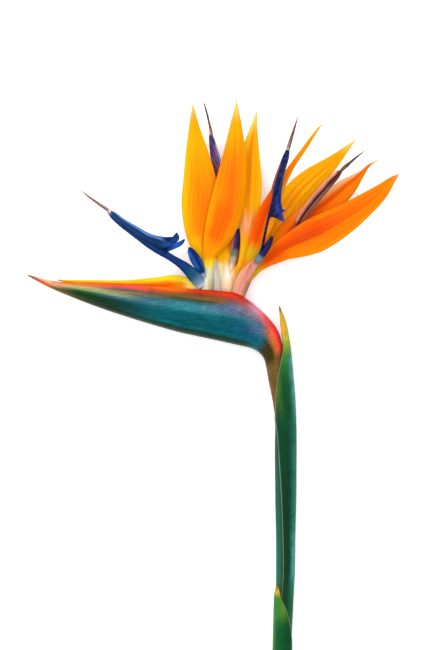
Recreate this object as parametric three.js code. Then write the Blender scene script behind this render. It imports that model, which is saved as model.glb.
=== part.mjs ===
// Bird of paradise flower, cut with a length of stem and lying on a table.
// Millimetres, +Z up. The stem runs along Y, the flowers fan out at its +Y end, and Z = 0 is the
// surface that the cut stem, the spathe's belly and the lowest sepals rest on.
import * as THREE from 'three';

// ---------------------------------------------------------------- driving dimensions

const SEPAL_THICKNESS = 1.0;
const NECTARY_THICKNESS = 1.1;
const ARROW_THICKNESS = 1.9;
const EDGE_THINNING = 0.5;

const STEM_CUT_Y = -194.5;
const PEDUNCLE_RADIUS = 4.1;
const SPATHE_WALL = 1.4;
const MARGIN_THINNING = 0.6;
const TIP_WALL_SHARE = 0.3;
const SHEATH_WALL = 0.9;

const SEPAL_COLUMNS = 6;
const SEPAL_ROWS = 12;
const WING_COLUMNS = 2;
const TUBE_SIDES = 10;
const TUBE_ROWS_PER_SPAN = 2;
const SHELL_COLUMNS = 16;
const SHELL_ROWS_PER_SPAN = 2;

// Sepals and nectary petals, from the foot to the tip: [x, y, z, half width, tilt].
// The tilt is how much the right-hand edge stands above the middle. A positive cup
// bulges upward, and a negative one is a trough.
const PETALS = {
  flower1_sepal_left: {
    kind: 'sepal', cup: 0.22, stations: [
      [-5, 81.5, 12.8, 2.4, 0], [-4.5, 89.5, 13.3, 3.2, 0.3], [-7.5, 101, 14, 6.8, 1],
      [-8.5, 112, 15.2, 9.6, 1.5], [-8.5, 127, 17, 11.4, 1.5], [-8, 141.5, 18.5, 10.8, 1],
      [-9.5, 158, 20, 8, 0], [-11.5, 177, 21.5, 3.6, 0], [-12.5, 193, 22, 0.3, 0],
    ],
  },
  flower1_sepal_right: {
    kind: 'sepal', cup: 0.24, stations: [
      [-3, 81.5, 16.4, 2.6, 0], [-2, 89.5, 17, 3.4, 0], [-1, 96, 18, 5, 0],
      [4.5, 109, 20.5, 9.6, -1], [9, 123.5, 23, 11, -1.5], [12, 138.5, 25.5, 10.2, -1],
      [14.5, 157, 28, 7.8, 0], [15.5, 179, 29.5, 3.6, 0], [16, 194.3, 30, 0.3, 0],
    ],
  },
  flower1_sepal_low: {
    kind: 'sepal', cup: 0, upright: true, stations: [
      [-8.2, 72, 13, 2, 0], [-14.5, 73, 13, 4.6, 0], [-24, 74, 12.8, 5.6, 0],
      [-37, 74.5, 12.2, 4.6, 0], [-56.5, 75.2, 10.8, 2.8, 0], [-76, 76, 8.6, 2.2, 0],
      [-91, 77, 6.5, 1.4, 0], [-101.5, 78.4, 5, 0.4, 0],
    ],
  },
  flower1_nectary: {
    kind: 'nectary', cup: -0.25, stations: [
      [-5.4, 81.7, 18.5, 1.6, 0], [-8.5, 87, 18.5, 2.8, 0], [-11, 91.5, 18.5, 2.8, 0],
      [-14, 97, 18.8, 1.2, 0], [-14.5, 99.5, 19, 0.3, 0],
    ],
  },
  flower2_sepal_near: {
    kind: 'sepal', cup: 0.2, stations: [
      [14.2, 80.2, 12.8, 1.9, 0], [19.5, 89.5, 14.2, 2.4, 0], [22, 101, 15.2, 3.6, 0.5],
      [23.5, 112, 16, 5.6, 1], [23.5, 123.5, 17, 7.4, 1], [24, 140, 17.5, 8.4, 0.5],
      [25, 160, 17, 6, 0], [27, 175.5, 16, 2.8, 0], [29.5, 189, 14, 0.3, 0],
    ],
  },
  flower2_sepal_mid: {
    kind: 'sepal', cup: 0.15, stations: [
      [8.3, 80, 9, 2.6, 0], [7.5, 87, 8.8, 3.6, 0], [9, 104, 8, 5, -0.5],
      [11, 120, 6.5, 6, -0.5], [13, 140, 4.5, 6, 0], [14.5, 156, 2.8, 4, 0],
      [15.5, 169, 0.45, 0.4, 0],
    ],
  },
  flower2_sepal_far: {
    kind: 'sepal', cup: 0.15, stations: [
      [13.4, 80, 7.6, 2, 0], [17, 89.5, 6.3, 2.4, 0], [20, 104, 5.2, 3.8, 0],
      [23.5, 120, 4.2, 5, 0], [25, 136.5, 3.2, 5.4, 0], [25.5, 153, 2.2, 4, 0],
      [26, 169, 0.45, 0.4, 0],
    ],
  },
  flower2_nectary: {
    kind: 'nectary', cup: -0.25, stations: [
      [10.6, 81.5, 15.2, 1.4, 0], [14, 90.5, 13.2, 1.9, 0], [15.5, 99, 12.4, 2.1, 0],
      [16, 106, 12.6, 1.8, 0], [16.5, 112, 13, 0.4, 0],
    ],
  },
  flower3_sepal_upper: {
    kind: 'sepal', cup: 0.2, stations: [
      [19.6, 79.8, 19.3, 2, 0], [24, 91.5, 20, 3, 0], [28, 100, 21.5, 4.4, 0],
      [31, 108.5, 23, 5.8, 0.6], [34.5, 118.5, 24.8, 6.4, 0.8], [40, 132, 27.4, 4.9, 0.6],
      [49, 149, 30.8, 2.4, 0], [60, 164.5, 33.5, 1.2, 0], [72, 179.5, 36, 0.3, 0],
    ],
  },
  flower3_sepal_lower: {
    kind: 'sepal', cup: 0.2, stations: [
      [22.6, 78.6, 20.4, 1.8, 0], [27.5, 83.5, 22, 2.4, 0], [34, 89, 24, 3.6, 0.5],
      [45.5, 97, 26, 6.8, 1], [59.5, 103.5, 27.3, 10.4, 1], [70, 108.5, 28, 11.3, 0.8],
      [87.5, 118.5, 28.6, 9.3, 0], [106.5, 132.5, 28.4, 5.8, 0], [116.5, 142.5, 27.5, 2.4, 0],
      [121.6, 147, 27, 0.3, 0],
    ],
  },
  flower3_sepal_far: {
    kind: 'sepal', cup: 0.15, stations: [
      [22.8, 80, 18, 1.5, 0], [32.5, 86.5, 19, 2, 0], [42, 92, 21, 3.2, 0],
      [54, 98, 22.4, 4.8, 0], [68, 105, 23, 5.6, 0], [82, 112.5, 22.6, 4.6, 0],
      [93.5, 120, 21.6, 0.4, 0],
    ],
  },
  flower3_nectary: {
    kind: 'nectary', cup: -0.25, stations: [
      [22.6, 80.6, 22.9, 1.5, 0], [28, 88, 25.6, 2.3, 0], [32.5, 94.5, 27.4, 2.5, 0],
      [36, 100.5, 29.2, 2, 0], [38.5, 106.5, 31, 0.4, 0],
    ],
  },
  flower4_sepal_upper: {
    kind: 'sepal', cup: 0.2, stations: [
      [21.8, 79.6, 8.7, 1.8, 0], [29, 91, 9.3, 3.2, 0], [35, 101.5, 9.7, 5.2, 0],
      [42, 114, 10, 7.8, -0.6], [54.5, 132.5, 10, 9, -0.8], [65, 143.5, 9.8, 8, -0.4],
      [79, 155.5, 9, 4.4, 0], [94.5, 170.5, 7, 0.3, 0],
    ],
  },
  flower4_sepal_lower: {
    kind: 'sepal', cup: 0.16, stations: [
      [23.2, 78.8, 10.6, 1.8, 0], [32.5, 88.5, 11.2, 2.8, 0], [40.5, 98, 13.6, 4.6, 0],
      [49, 107.5, 15.4, 7, 0], [61, 117.5, 16.6, 8, 0], [75, 127.5, 17, 8, 0],
      [87.5, 138, 17, 6.2, 0], [97, 147, 17, 2.4, 0], [102, 152.5, 17, 1, 0],
      [107.5, 157, 16.5, 0.4, 0],
    ],
  },
  flower4_sepal_far: {
    kind: 'sepal', cup: 0.15, stations: [
      [21.6, 79.8, 6.4, 1.6, 0], [30.5, 92, 6.2, 2.8, 0], [42, 108, 5, 4.8, 0],
      [55, 124.5, 3.8, 5.8, 0], [67, 138.5, 2.2, 4.6, 0], [78, 149, 0.45, 0.4, 0],
    ],
  },
  flower4_nectary: {
    kind: 'nectary', cup: -0.25, stations: [
      [25, 81.6, 15.6, 1.3, 0], [30, 87, 17, 1.8, 0], [35, 92, 18.6, 1.8, 0],
      [39, 96.5, 20, 0.4, 0],
    ],
  },
};

// Arrows (two blue petals grown together), from the tip to the foot of the claw:
// [x, y, z of the keel, wing length, how far the wing's edge is swept back to the foot].
// The groove between the wings opens along `open`, and `spread` is half the angle between them.
const ARROWS = {
  flower1_arrow: {
    open: [0.28, 0.86, 0.42], spread: 20, stations: [
      [-68, 122.6, 22.5, 1.2, 0], [-60, 114.5, 22, 5.4, 0.5], [-47, 104, 21.5, 8.4, 1],
      [-40.5, 99.5, 21.2, 10.6, 1], [-34, 95, 21, 18, 5], [-29.5, 92, 21, 4.6, 0],
      [-21, 86.5, 20.6, 4.6, 0], [-14.5, 81, 20, 5, 0], [-9.5, 77.4, 19.7, 4.4, 0],
      [-6, 75, 18.6, 3, 0],
    ],
  },
  flower2_arrow: {
    open: [0, 0, 1], spread: 48, stations: [
      [-0.5, 172.8, 15, 1, 0], [0.5, 166, 14, 2.4, 0], [1.7, 160.5, 13.4, 3, 0],
      [2.8, 154, 13, 3.6, 0], [5, 146, 12.4, 4.2, 0], [8, 130, 11.6, 7, 4],
      [8.6, 126, 11.5, 2, 0], [9.5, 110, 11.4, 1.8, 0], [10, 96, 11.4, 1.8, 0],
      [10.2, 80.1, 11.6, 1.8, 0],
    ],
  },
  flower3_arrow: {
    open: [0.8, 0, -0.6], spread: 24, stations: [
      [48.5, 164.2, 44, 1.2, 0], [45, 154, 43, 4, 0], [41, 144, 41.5, 6.6, 0],
      [38.6, 137, 40.4, 8.4, 1], [38, 124.5, 38.6, 12, 5], [37.4, 120, 38, 2.6, 0],
      [35.6, 109, 36, 2.2, 0], [32.4, 96, 32, 2.2, 0], [28, 87.5, 28.9, 2.2, 0],
      [24, 82, 26.2, 2, 0],
    ],
  },
  flower4_arrow: {
    open: [0, 0, 1], spread: 42, stations: [
      [83.6, 149, 25, 1.2, 0], [77, 142, 24.2, 2.4, 0], [69, 133, 23.6, 3, 0],
      [61, 123.5, 22.8, 4, 0], [54.5, 115.5, 21.6, 6, 4], [52, 112, 21, 1.8, 0],
      [44, 102, 18.8, 1.8, 0], [34, 91, 14.8, 1.8, 0], [25, 81, 12.9, 1.6, 0],
    ],
  },
};

// Round pieces: [x, y, z, radius].
const TUBES = {
  flower1_style: [[-68.3, 123.1, 22.8, 0.9], [-76.5, 129.4, 23.2, 0.8], [-85, 136.2, 23.4, 0.4]],
  flower2_style: [[-0.7, 173.4, 15.3, 0.8], [-3, 184, 16.4, 0.7], [-5, 194, 17.4, 0.4]],
  flower3_style: [[48.7, 164.7, 44.1, 0.9], [52.5, 174, 45, 0.8], [55.5, 182.5, 45.6, 0.4]],
  flower4_style: [[84, 149.5, 25.5, 1.3], [91, 155.6, 26.4, 1.1], [99.5, 162.2, 27, 0.5]],
  flower1_base: [[-2.5, 56.2, 13.6, 2.8], [-3.5, 70, 14, 3.8], [-3.8, 80.6, 14.4, 3.6]],
  flower2_base: [[9, 54.4, 11, 2.6], [10, 69, 10.4, 3.6], [11.2, 79.2, 10.8, 4.1]],
  flower3_base: [[14.2, 53.2, 15.8, 2.4], [17.2, 69, 17.3, 3.3], [20.8, 78.5, 18.5, 3.3]],
  flower4_base: [[16.2, 53.2, 10.4, 2.2], [18, 68, 9, 2.8], [22.3, 78.2, 8.8, 2.8]],
  peduncle: [
    [45.5, STEM_CUT_Y, 6.5, PEDUNCLE_RADIUS], [46.4, -160, 7.5, PEDUNCLE_RADIUS],
    [48.1, -110, 9.1, PEDUNCLE_RADIUS], [48.2, -66, 10.4, PEDUNCLE_RADIUS],
    [48.3, -26, 11.6, PEDUNCLE_RADIUS], [48, -10, 12, PEDUNCLE_RADIUS],
    [45.5, 4, 12.4, PEDUNCLE_RADIUS], [43.4, 13, 12.7, PEDUNCLE_RADIUS],
    [40.4, 26, 13, PEDUNCLE_RADIUS], [35, 36, 13, PEDUNCLE_RADIUS],
    [27, 43.6, 13, 4], [16, 48.5, 13, 3.8], [4, 51, 13, 3.6], [-6, 53, 13, 2.6],
  ],
};

// Spathe sections from the tip, around the bend and down to its foot on the stem:
// [slit side x, y, keel x, y, z of the middle, half width, half gap of the slit].
const SPATHE = [
  [-122, 82.2, -121.6, 81.4, 3.2, 0.6, 0.35],
  [-110, 79.2, -110, 75, 3.6, 3, 1.2],
  [-98, 77, -99, 70, 5.2, 5.2, 2],
  [-73, 76, -76, 61, 8.4, 8.4, 2.2],
  [-47, 75, -50.5, 52.5, 10.6, 10.6, 2.6],
  [-22, 73, -25, 45, 12, 12, 3],
  [-8, 72, -12, 42, 12.6, 12.6, 5.4],
  [6, 71, 4, 38.6, 13, 12.95, 8.4],
  [18, 68.5, 15.5, 36, 13, 12.95, 9],
  [32, 58.5, 25.6, 33.6, 13, 11.8, 3],
  [42, 47, 31, 30.5, 13, 9.6, 1.2],
  [46, 36, 34.2, 26, 13, 8, 1],
  [47, 26, 35.6, 19.6, 13, 7, 1],
  [48.8, 14, 37, 11.6, 12.7, 6.4, 1],
  [50.6, 4, 38.8, 3, 12.4, 5.8, 1],
  [53.3, -10, 41.8, -10.4, 12, 5.8, 1],
  [54, -24, 42.4, -24, 11.7, 5.8, 1],
];

// The axis of the stem's sheaths, from the pointed tip of the upper one to the cut: [y, x, z].
const STEM_AXIS = [
  [61, 37.2, 13], [50, 41.4, 13], [36, 43.9, 13], [26, 44.7, 13], [16, 45.4, 12.8],
  [4, 46.4, 12.4], [-12, 47.7, 12], [-26, 48.1, 11.6], [-66, 48.2, 10.4], [-110, 48.1, 9.1],
  [-136, 47.3, 8.3], [-160, 46.4, 7.5], [STEM_CUT_Y, 45.5, 6.5],
];

// Leaf sheaths wrapped round the stem, from the tip to the foot:
// [y, outer radius, angle of the middle of the sheath, half of its angular width].
// Angles are measured round the stem from +X towards +Z, in degrees.
const SHEATHS = {
  upper_sheath: [
    [61, 7.2, 0, 4], [57, 7.2, 0, 20], [50, 7.2, 0, 42], [43, 7.2, 0, 58], [36, 7.3, 0, 68],
    [26, 7.6, 0, 85], [16, 7.8, 0, 105], [4, 7.9, 0, 122], [-12, 7.4, 0, 158],
    [-24, 7.2, -8, 168], [-42, 7.1, -48, 172], [-66, 6.9, -64, 172], [-90, 6.4, -70, 172],
    [-112, 6, -72, 172], [-121, 5.8, -70, 172], [-135, 5.6, -68, 172], [-160, 5.4, -68, 172],
    [STEM_CUT_Y, 5.3, -68, 172],
  ],
  lower_sheath: [
    [-121, 7, 140, 3], [-129, 7, 150, 37], [-136.5, 7, 158, 77], [-142.5, 6.9, 165, 102],
    [-150, 6.8, 170, 128], [-159, 6.7, 175, 156], [-176, 6.6, 178, 172],
    [STEM_CUT_Y, 6.5, 178, 172],
  ],
};

const COLOURS = {
  sepal: new THREE.Color(0.96, 0.5, 0.04),
  sepal_low: new THREE.Color(0.93, 0.78, 0.2),
  blue: new THREE.Color(0.07, 0.13, 0.5),
  style: new THREE.Color(0.55, 0.34, 0.4),
  base: new THREE.Color(0.85, 0.84, 0.74),
  spathe: new THREE.Color(0.12, 0.38, 0.36),
  sheath: new THREE.Color(0.13, 0.36, 0.2),
  stem: new THREE.Color(0.5, 0.62, 0.35),
};

// ---------------------------------------------------------------- shape functions

// A smooth curve through rows of numbers of any length, sampled at `count` + 1 even steps.
function smoothRows(rows, count) {
  const last = rows.length - 1;
  const sampled = [];
  for (let i = 0; i <= count; i++) {
    const place = (i / count) * last;
    const from = Math.min(Math.floor(place), last - 1);
    sampled.push(rows[from].map((value, k) => {
      const next = rows[from + 1][k];
      const before = from > 0 ? rows[from - 1][k] : 2 * value - next;
      const after = from + 2 <= last ? rows[from + 2][k] : 2 * next - value;
      return catmullRom(before, value, next, after, place - from);
    }));
  }
  return sampled;
}

function catmullRom(a, b, c, d, t) {
  const slopeIn = (c - a) / 2;
  const slopeOut = (d - b) / 2;
  const cubic = 2 * (b - c) + slopeIn + slopeOut;
  const square = 3 * (c - b) - 2 * slopeIn - slopeOut;
  return ((cubic * t + square) * t + slopeIn) * t + b;
}

function tangentAt(points, i) {
  const from = points[Math.max(i - 1, 0)];
  const to = points[Math.min(i + 1, points.length - 1)];
  return new THREE.Vector3().subVectors(to, from).normalize();
}

// A closed solid from vertices and triangles, turned so that its faces point out.
function closedGeometry(vertices, triangles) {
  let volume = 0;
  const cross = new THREE.Vector3();
  for (const [a, b, c] of triangles) {
    volume += vertices[a].dot(cross.crossVectors(vertices[b], vertices[c])) / 6;
  }
  const outward = volume > 0 ? triangles : triangles.map(([a, b, c]) => [a, c, b]);
  const geometry = new THREE.BufferGeometry();
  const numbers = vertices.flatMap((vertex) => vertex.toArray());
  geometry.setAttribute('position', new THREE.Float32BufferAttribute(numbers, 3));
  geometry.setIndex(outward.flat());
  geometry.computeVertexNormals();
  return geometry;
}

// A solid sheet between two equal grids of points, closed along its four sides.
function slab(front, back) {
  const rows = front.length;
  const columns = front[0].length;
  const backStart = rows * columns;
  const triangles = [];
  const at = (row, column) => row * columns + column;
  for (let i = 0; i < rows - 1; i++) {
    for (let j = 0; j < columns - 1; j++) {
      const corners = [at(i, j), at(i + 1, j), at(i + 1, j + 1), at(i, j + 1)];
      addQuad(triangles, corners);
      addQuad(triangles, corners.map((k) => k + backStart).reverse());
    }
  }
  const rim = [];
  for (let j = 0; j < columns; j++) rim.push(at(0, j));
  for (let i = 1; i < rows; i++) rim.push(at(i, columns - 1));
  for (let j = columns - 2; j >= 0; j--) rim.push(at(rows - 1, j));
  for (let i = rows - 2; i > 0; i--) rim.push(at(i, 0));
  rim.forEach((here, k) => {
    const next = rim[(k + 1) % rim.length];
    addQuad(triangles, [here, next, next + backStart, here + backStart]);
  });
  return closedGeometry([...front.flat(), ...back.flat()], triangles);
}

function addQuad(triangles, [a, b, c, d]) {
  triangles.push([a, b, c], [a, c, d]);
}

// A sepal or nectary: a thin blade around a smooth middle line, thinner at its edges.
function blade({ kind, cup, stations, upright }) {
  const thickness = kind === 'nectary' ? NECTARY_THICKNESS : SEPAL_THICKNESS;
  const rows = smoothRows(stations, SEPAL_ROWS);
  const middle = rows.map(([x, y, z]) => new THREE.Vector3(x, y, z));
  const front = [];
  const back = [];
  rows.forEach(([, , , half, tilt], i) => {
    const along = tangentAt(middle, i);
    const side = new THREE.Vector3(along.y, -along.x, 0).normalize().multiplyScalar(half);
    side.z = tilt;
    const out = upright
      ? new THREE.Vector3(0, 0, 1)
      : new THREE.Vector3().crossVectors(side, along).normalize();
    const frontRow = [];
    const backRow = [];
    for (let j = 0; j <= SEPAL_COLUMNS; j++) {
      const across = (2 * j) / SEPAL_COLUMNS - 1;
      const rise = cup * half * (1 - across * across);
      const halfThickness = 0.5 * thickness * (1 - EDGE_THINNING * across * across);
      const point = middle[i].clone().addScaledVector(side, across);
      frontRow.push(point.clone().addScaledVector(out, rise + halfThickness));
      backRow.push(point.addScaledVector(out, rise - halfThickness));
    }
    front.push(frontRow);
    back.push(backRow);
  });
  return slab(front, back);
}

// An arrow: two wings that meet in a keel, with a barb on each where the wings are longest.
function arrow({ open, spread, stations }) {
  const keel = stations.map(([x, y, z]) => new THREE.Vector3(x, y, z));
  const opening = new THREE.Vector3(...open).normalize();
  const angle = THREE.MathUtils.degToRad(spread);
  const front = [];
  const back = [];
  stations.forEach(([, , , wing, sweep], i) => {
    const along = tangentAt(keel, i);
    const up = opening.clone().addScaledVector(along, -opening.dot(along)).normalize();
    const sideways = new THREE.Vector3().crossVectors(along, up).normalize();
    const frontRow = [];
    const backRow = [];
    for (let j = -WING_COLUMNS; j <= WING_COLUMNS; j++) {
      const across = j / WING_COLUMNS;
      const reach = Math.abs(across);
      const halfThickness = 0.5 * ARROW_THICKNESS * (1 - EDGE_THINNING * reach);
      const point = keel[i].clone()
        .addScaledVector(up, wing * reach * Math.cos(angle))
        .addScaledVector(sideways, wing * across * Math.sin(angle))
        .addScaledVector(along, sweep * reach * reach);
      frontRow.push(point.clone().addScaledVector(up, halfThickness));
      backRow.push(point.addScaledVector(up, -halfThickness));
    }
    front.push(frontRow);
    back.push(backRow);
  });
  return slab(front, back);
}

// A round rod of changing radius with flat ends.
function rod(stations) {
  const rows = smoothRows(stations, (stations.length - 1) * TUBE_ROWS_PER_SPAN);
  const middle = rows.map(([x, y, z]) => new THREE.Vector3(x, y, z));
  const vertices = [];
  const triangles = [];
  rows.forEach(([, , , radius], i) => {
    const along = tangentAt(middle, i);
    const side = new THREE.Vector3(along.y, -along.x, 0).normalize();
    const up = new THREE.Vector3().crossVectors(side, along);
    for (let j = 0; j < TUBE_SIDES; j++) {
      const angle = (2 * Math.PI * j) / TUBE_SIDES;
      vertices.push(middle[i].clone()
        .addScaledVector(side, radius * Math.cos(angle))
        .addScaledVector(up, radius * Math.sin(angle)));
    }
  });
  for (let i = 0; i < rows.length - 1; i++) {
    for (let j = 0; j < TUBE_SIDES; j++) {
      const next = (j + 1) % TUBE_SIDES;
      const ring = i * TUBE_SIDES;
      addQuad(triangles, [ring + j, ring + next, ring + TUBE_SIDES + next, ring + TUBE_SIDES + j]);
    }
  }
  const lastRing = (rows.length - 1) * TUBE_SIDES;
  for (let j = 1; j < TUBE_SIDES - 1; j++) {
    triangles.push([0, j + 1, j], [lastRing, lastRing + j, lastRing + j + 1]);
  }
  return closedGeometry(vertices, triangles);
}

// The spathe: a boat-shaped wall, open along the slit opposite its keel.
function spathe(stations) {
  const rows = smoothRows(stations, (stations.length - 1) * SHELL_ROWS_PER_SPAN);
  const outer = [];
  const inner = [];
  for (const [topX, topY, keelX, keelY, middleZ, half, gap] of rows) {
    const top = new THREE.Vector3(topX, topY, middleZ);
    const keel = new THREE.Vector3(keelX, keelY, middleZ);
    const height = top.distanceTo(keel);
    const wall = Math.min(SPATHE_WALL, TIP_WALL_SHARE * half, TIP_WALL_SHARE * height);
    const rise = top.clone().sub(keel).divideScalar(height);
    outer.push(spatheSection(keel, rise, height, half, gap));
    const innerKeel = keel.clone().addScaledVector(rise, wall);
    const innerGap = gap - MARGIN_THINNING * wall;
    inner.push(spatheSection(innerKeel, rise, height - wall, half - wall, innerGap));
  }
  return slab(outer, inner);
}

function spatheSection(keel, rise, height, half, gap) {
  const points = [];
  const edge = Math.PI - Math.asin(gap / half);
  const edgeRise = (1 - Math.cos(edge)) / 2;
  for (let j = 0; j <= SHELL_COLUMNS; j++) {
    const turn = edge * ((2 * j) / SHELL_COLUMNS - 1);
    const up = (1 - Math.cos(turn)) / 2;
    const point = keel.clone().addScaledVector(rise, (height * up) / edgeRise);
    point.z += half * Math.sin(turn);
    points.push(point);
  }
  return points;
}

// A leaf sheath: a wall wrapped round the stem's axis, pointed at its free end.
function sheath(stations) {
  const outer = [];
  const inner = [];
  const rows = smoothRows(stations, (stations.length - 1) * SHELL_ROWS_PER_SPAN);
  for (const [y, radius, centre, width] of rows) {
    const outerRow = [];
    const innerRow = [];
    for (let j = 0; j <= SHELL_COLUMNS; j++) {
      const angle = THREE.MathUtils.degToRad(centre + width * ((2 * j) / SHELL_COLUMNS - 1));
      outerRow.push(pointRoundStem(y, angle, radius));
      innerRow.push(pointRoundStem(y, angle, radius - SHEATH_WALL));
    }
    outer.push(outerRow);
    inner.push(innerRow);
  }
  return slab(outer, inner);
}

function pointRoundStem(y, angle, radius) {
  const next = Math.max(1, STEM_AXIS.findIndex(([stationY]) => stationY <= y));
  const [fromY, fromX, fromZ] = STEM_AXIS[next - 1];
  const [toY, toX, toZ] = STEM_AXIS[next];
  const share = (y - fromY) / (toY - fromY);
  const axisX = THREE.MathUtils.lerp(fromX, toX, share);
  const axisZ = THREE.MathUtils.lerp(fromZ, toZ, share);
  return new THREE.Vector3(axisX + radius * Math.cos(angle), y, axisZ + radius * Math.sin(angle));
}

// ---------------------------------------------------------------- assembly

const flower = new THREE.Group();

function addPiece(name, geometry, colour, roughness) {
  const material = new THREE.MeshStandardMaterial({ color: colour, roughness, metalness: 0 });
  const mesh = new THREE.Mesh(geometry, material);
  mesh.name = name;
  flower.add(mesh);
}

for (const [name, petal] of Object.entries(PETALS)) {
  const sepalColour = petal.upright ? COLOURS.sepal_low : COLOURS.sepal;
  addPiece(name, blade(petal), petal.kind === 'nectary' ? COLOURS.blue : sepalColour, 0.5);
}
for (const [name, shape] of Object.entries(ARROWS)) {
  addPiece(name, arrow(shape), COLOURS.blue, 0.45);
}
for (const [name, stations] of Object.entries(TUBES)) {
  const colour = name.endsWith('style') ? COLOURS.style : COLOURS.base;
  addPiece(name, rod(stations), name === 'peduncle' ? COLOURS.stem : colour, 0.6);
}
for (const [name, stations] of Object.entries(SHEATHS)) {
  addPiece(name, sheath(stations), COLOURS.sheath, 0.5);
}
addPiece('spathe', spathe(SPATHE), COLOURS.spathe, 0.45);

export default flower;
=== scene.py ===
"""Looks of a cut bird of paradise flower that lies on a pale table.

Metres, +Z up. The tables are in millimetres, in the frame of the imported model, and are turned
into metres where the meshes are made. The stem lies along Y, the flowers open towards +Y.
"""

import math

import bpy
import numpy as np
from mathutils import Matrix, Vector


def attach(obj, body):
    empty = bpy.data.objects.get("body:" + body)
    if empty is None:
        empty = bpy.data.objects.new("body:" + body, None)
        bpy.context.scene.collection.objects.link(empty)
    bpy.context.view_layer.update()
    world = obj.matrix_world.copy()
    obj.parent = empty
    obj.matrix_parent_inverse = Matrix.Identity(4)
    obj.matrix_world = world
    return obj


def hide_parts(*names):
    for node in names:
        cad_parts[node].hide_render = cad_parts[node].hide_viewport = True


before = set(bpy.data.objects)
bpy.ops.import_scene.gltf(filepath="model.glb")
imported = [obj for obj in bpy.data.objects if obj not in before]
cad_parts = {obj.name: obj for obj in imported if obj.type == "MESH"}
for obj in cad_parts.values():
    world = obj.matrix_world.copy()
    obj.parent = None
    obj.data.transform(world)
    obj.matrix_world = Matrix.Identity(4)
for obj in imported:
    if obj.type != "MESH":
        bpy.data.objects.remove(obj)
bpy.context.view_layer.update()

MM = 0.001
BODY = "root"

# ------------------------------------------------------------------ shape tables (millimetres)

STEM_CUT_Y = -194.5
SEPAL_THICKNESS = 1.0
NECTARY_THICKNESS = 1.3
ARROW_THICKNESS = 0.9
SPATHE_WALL = 1.4
SHEATH_WALL = 0.9
PEDUNCLE_RADIUS = 4.0

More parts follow.
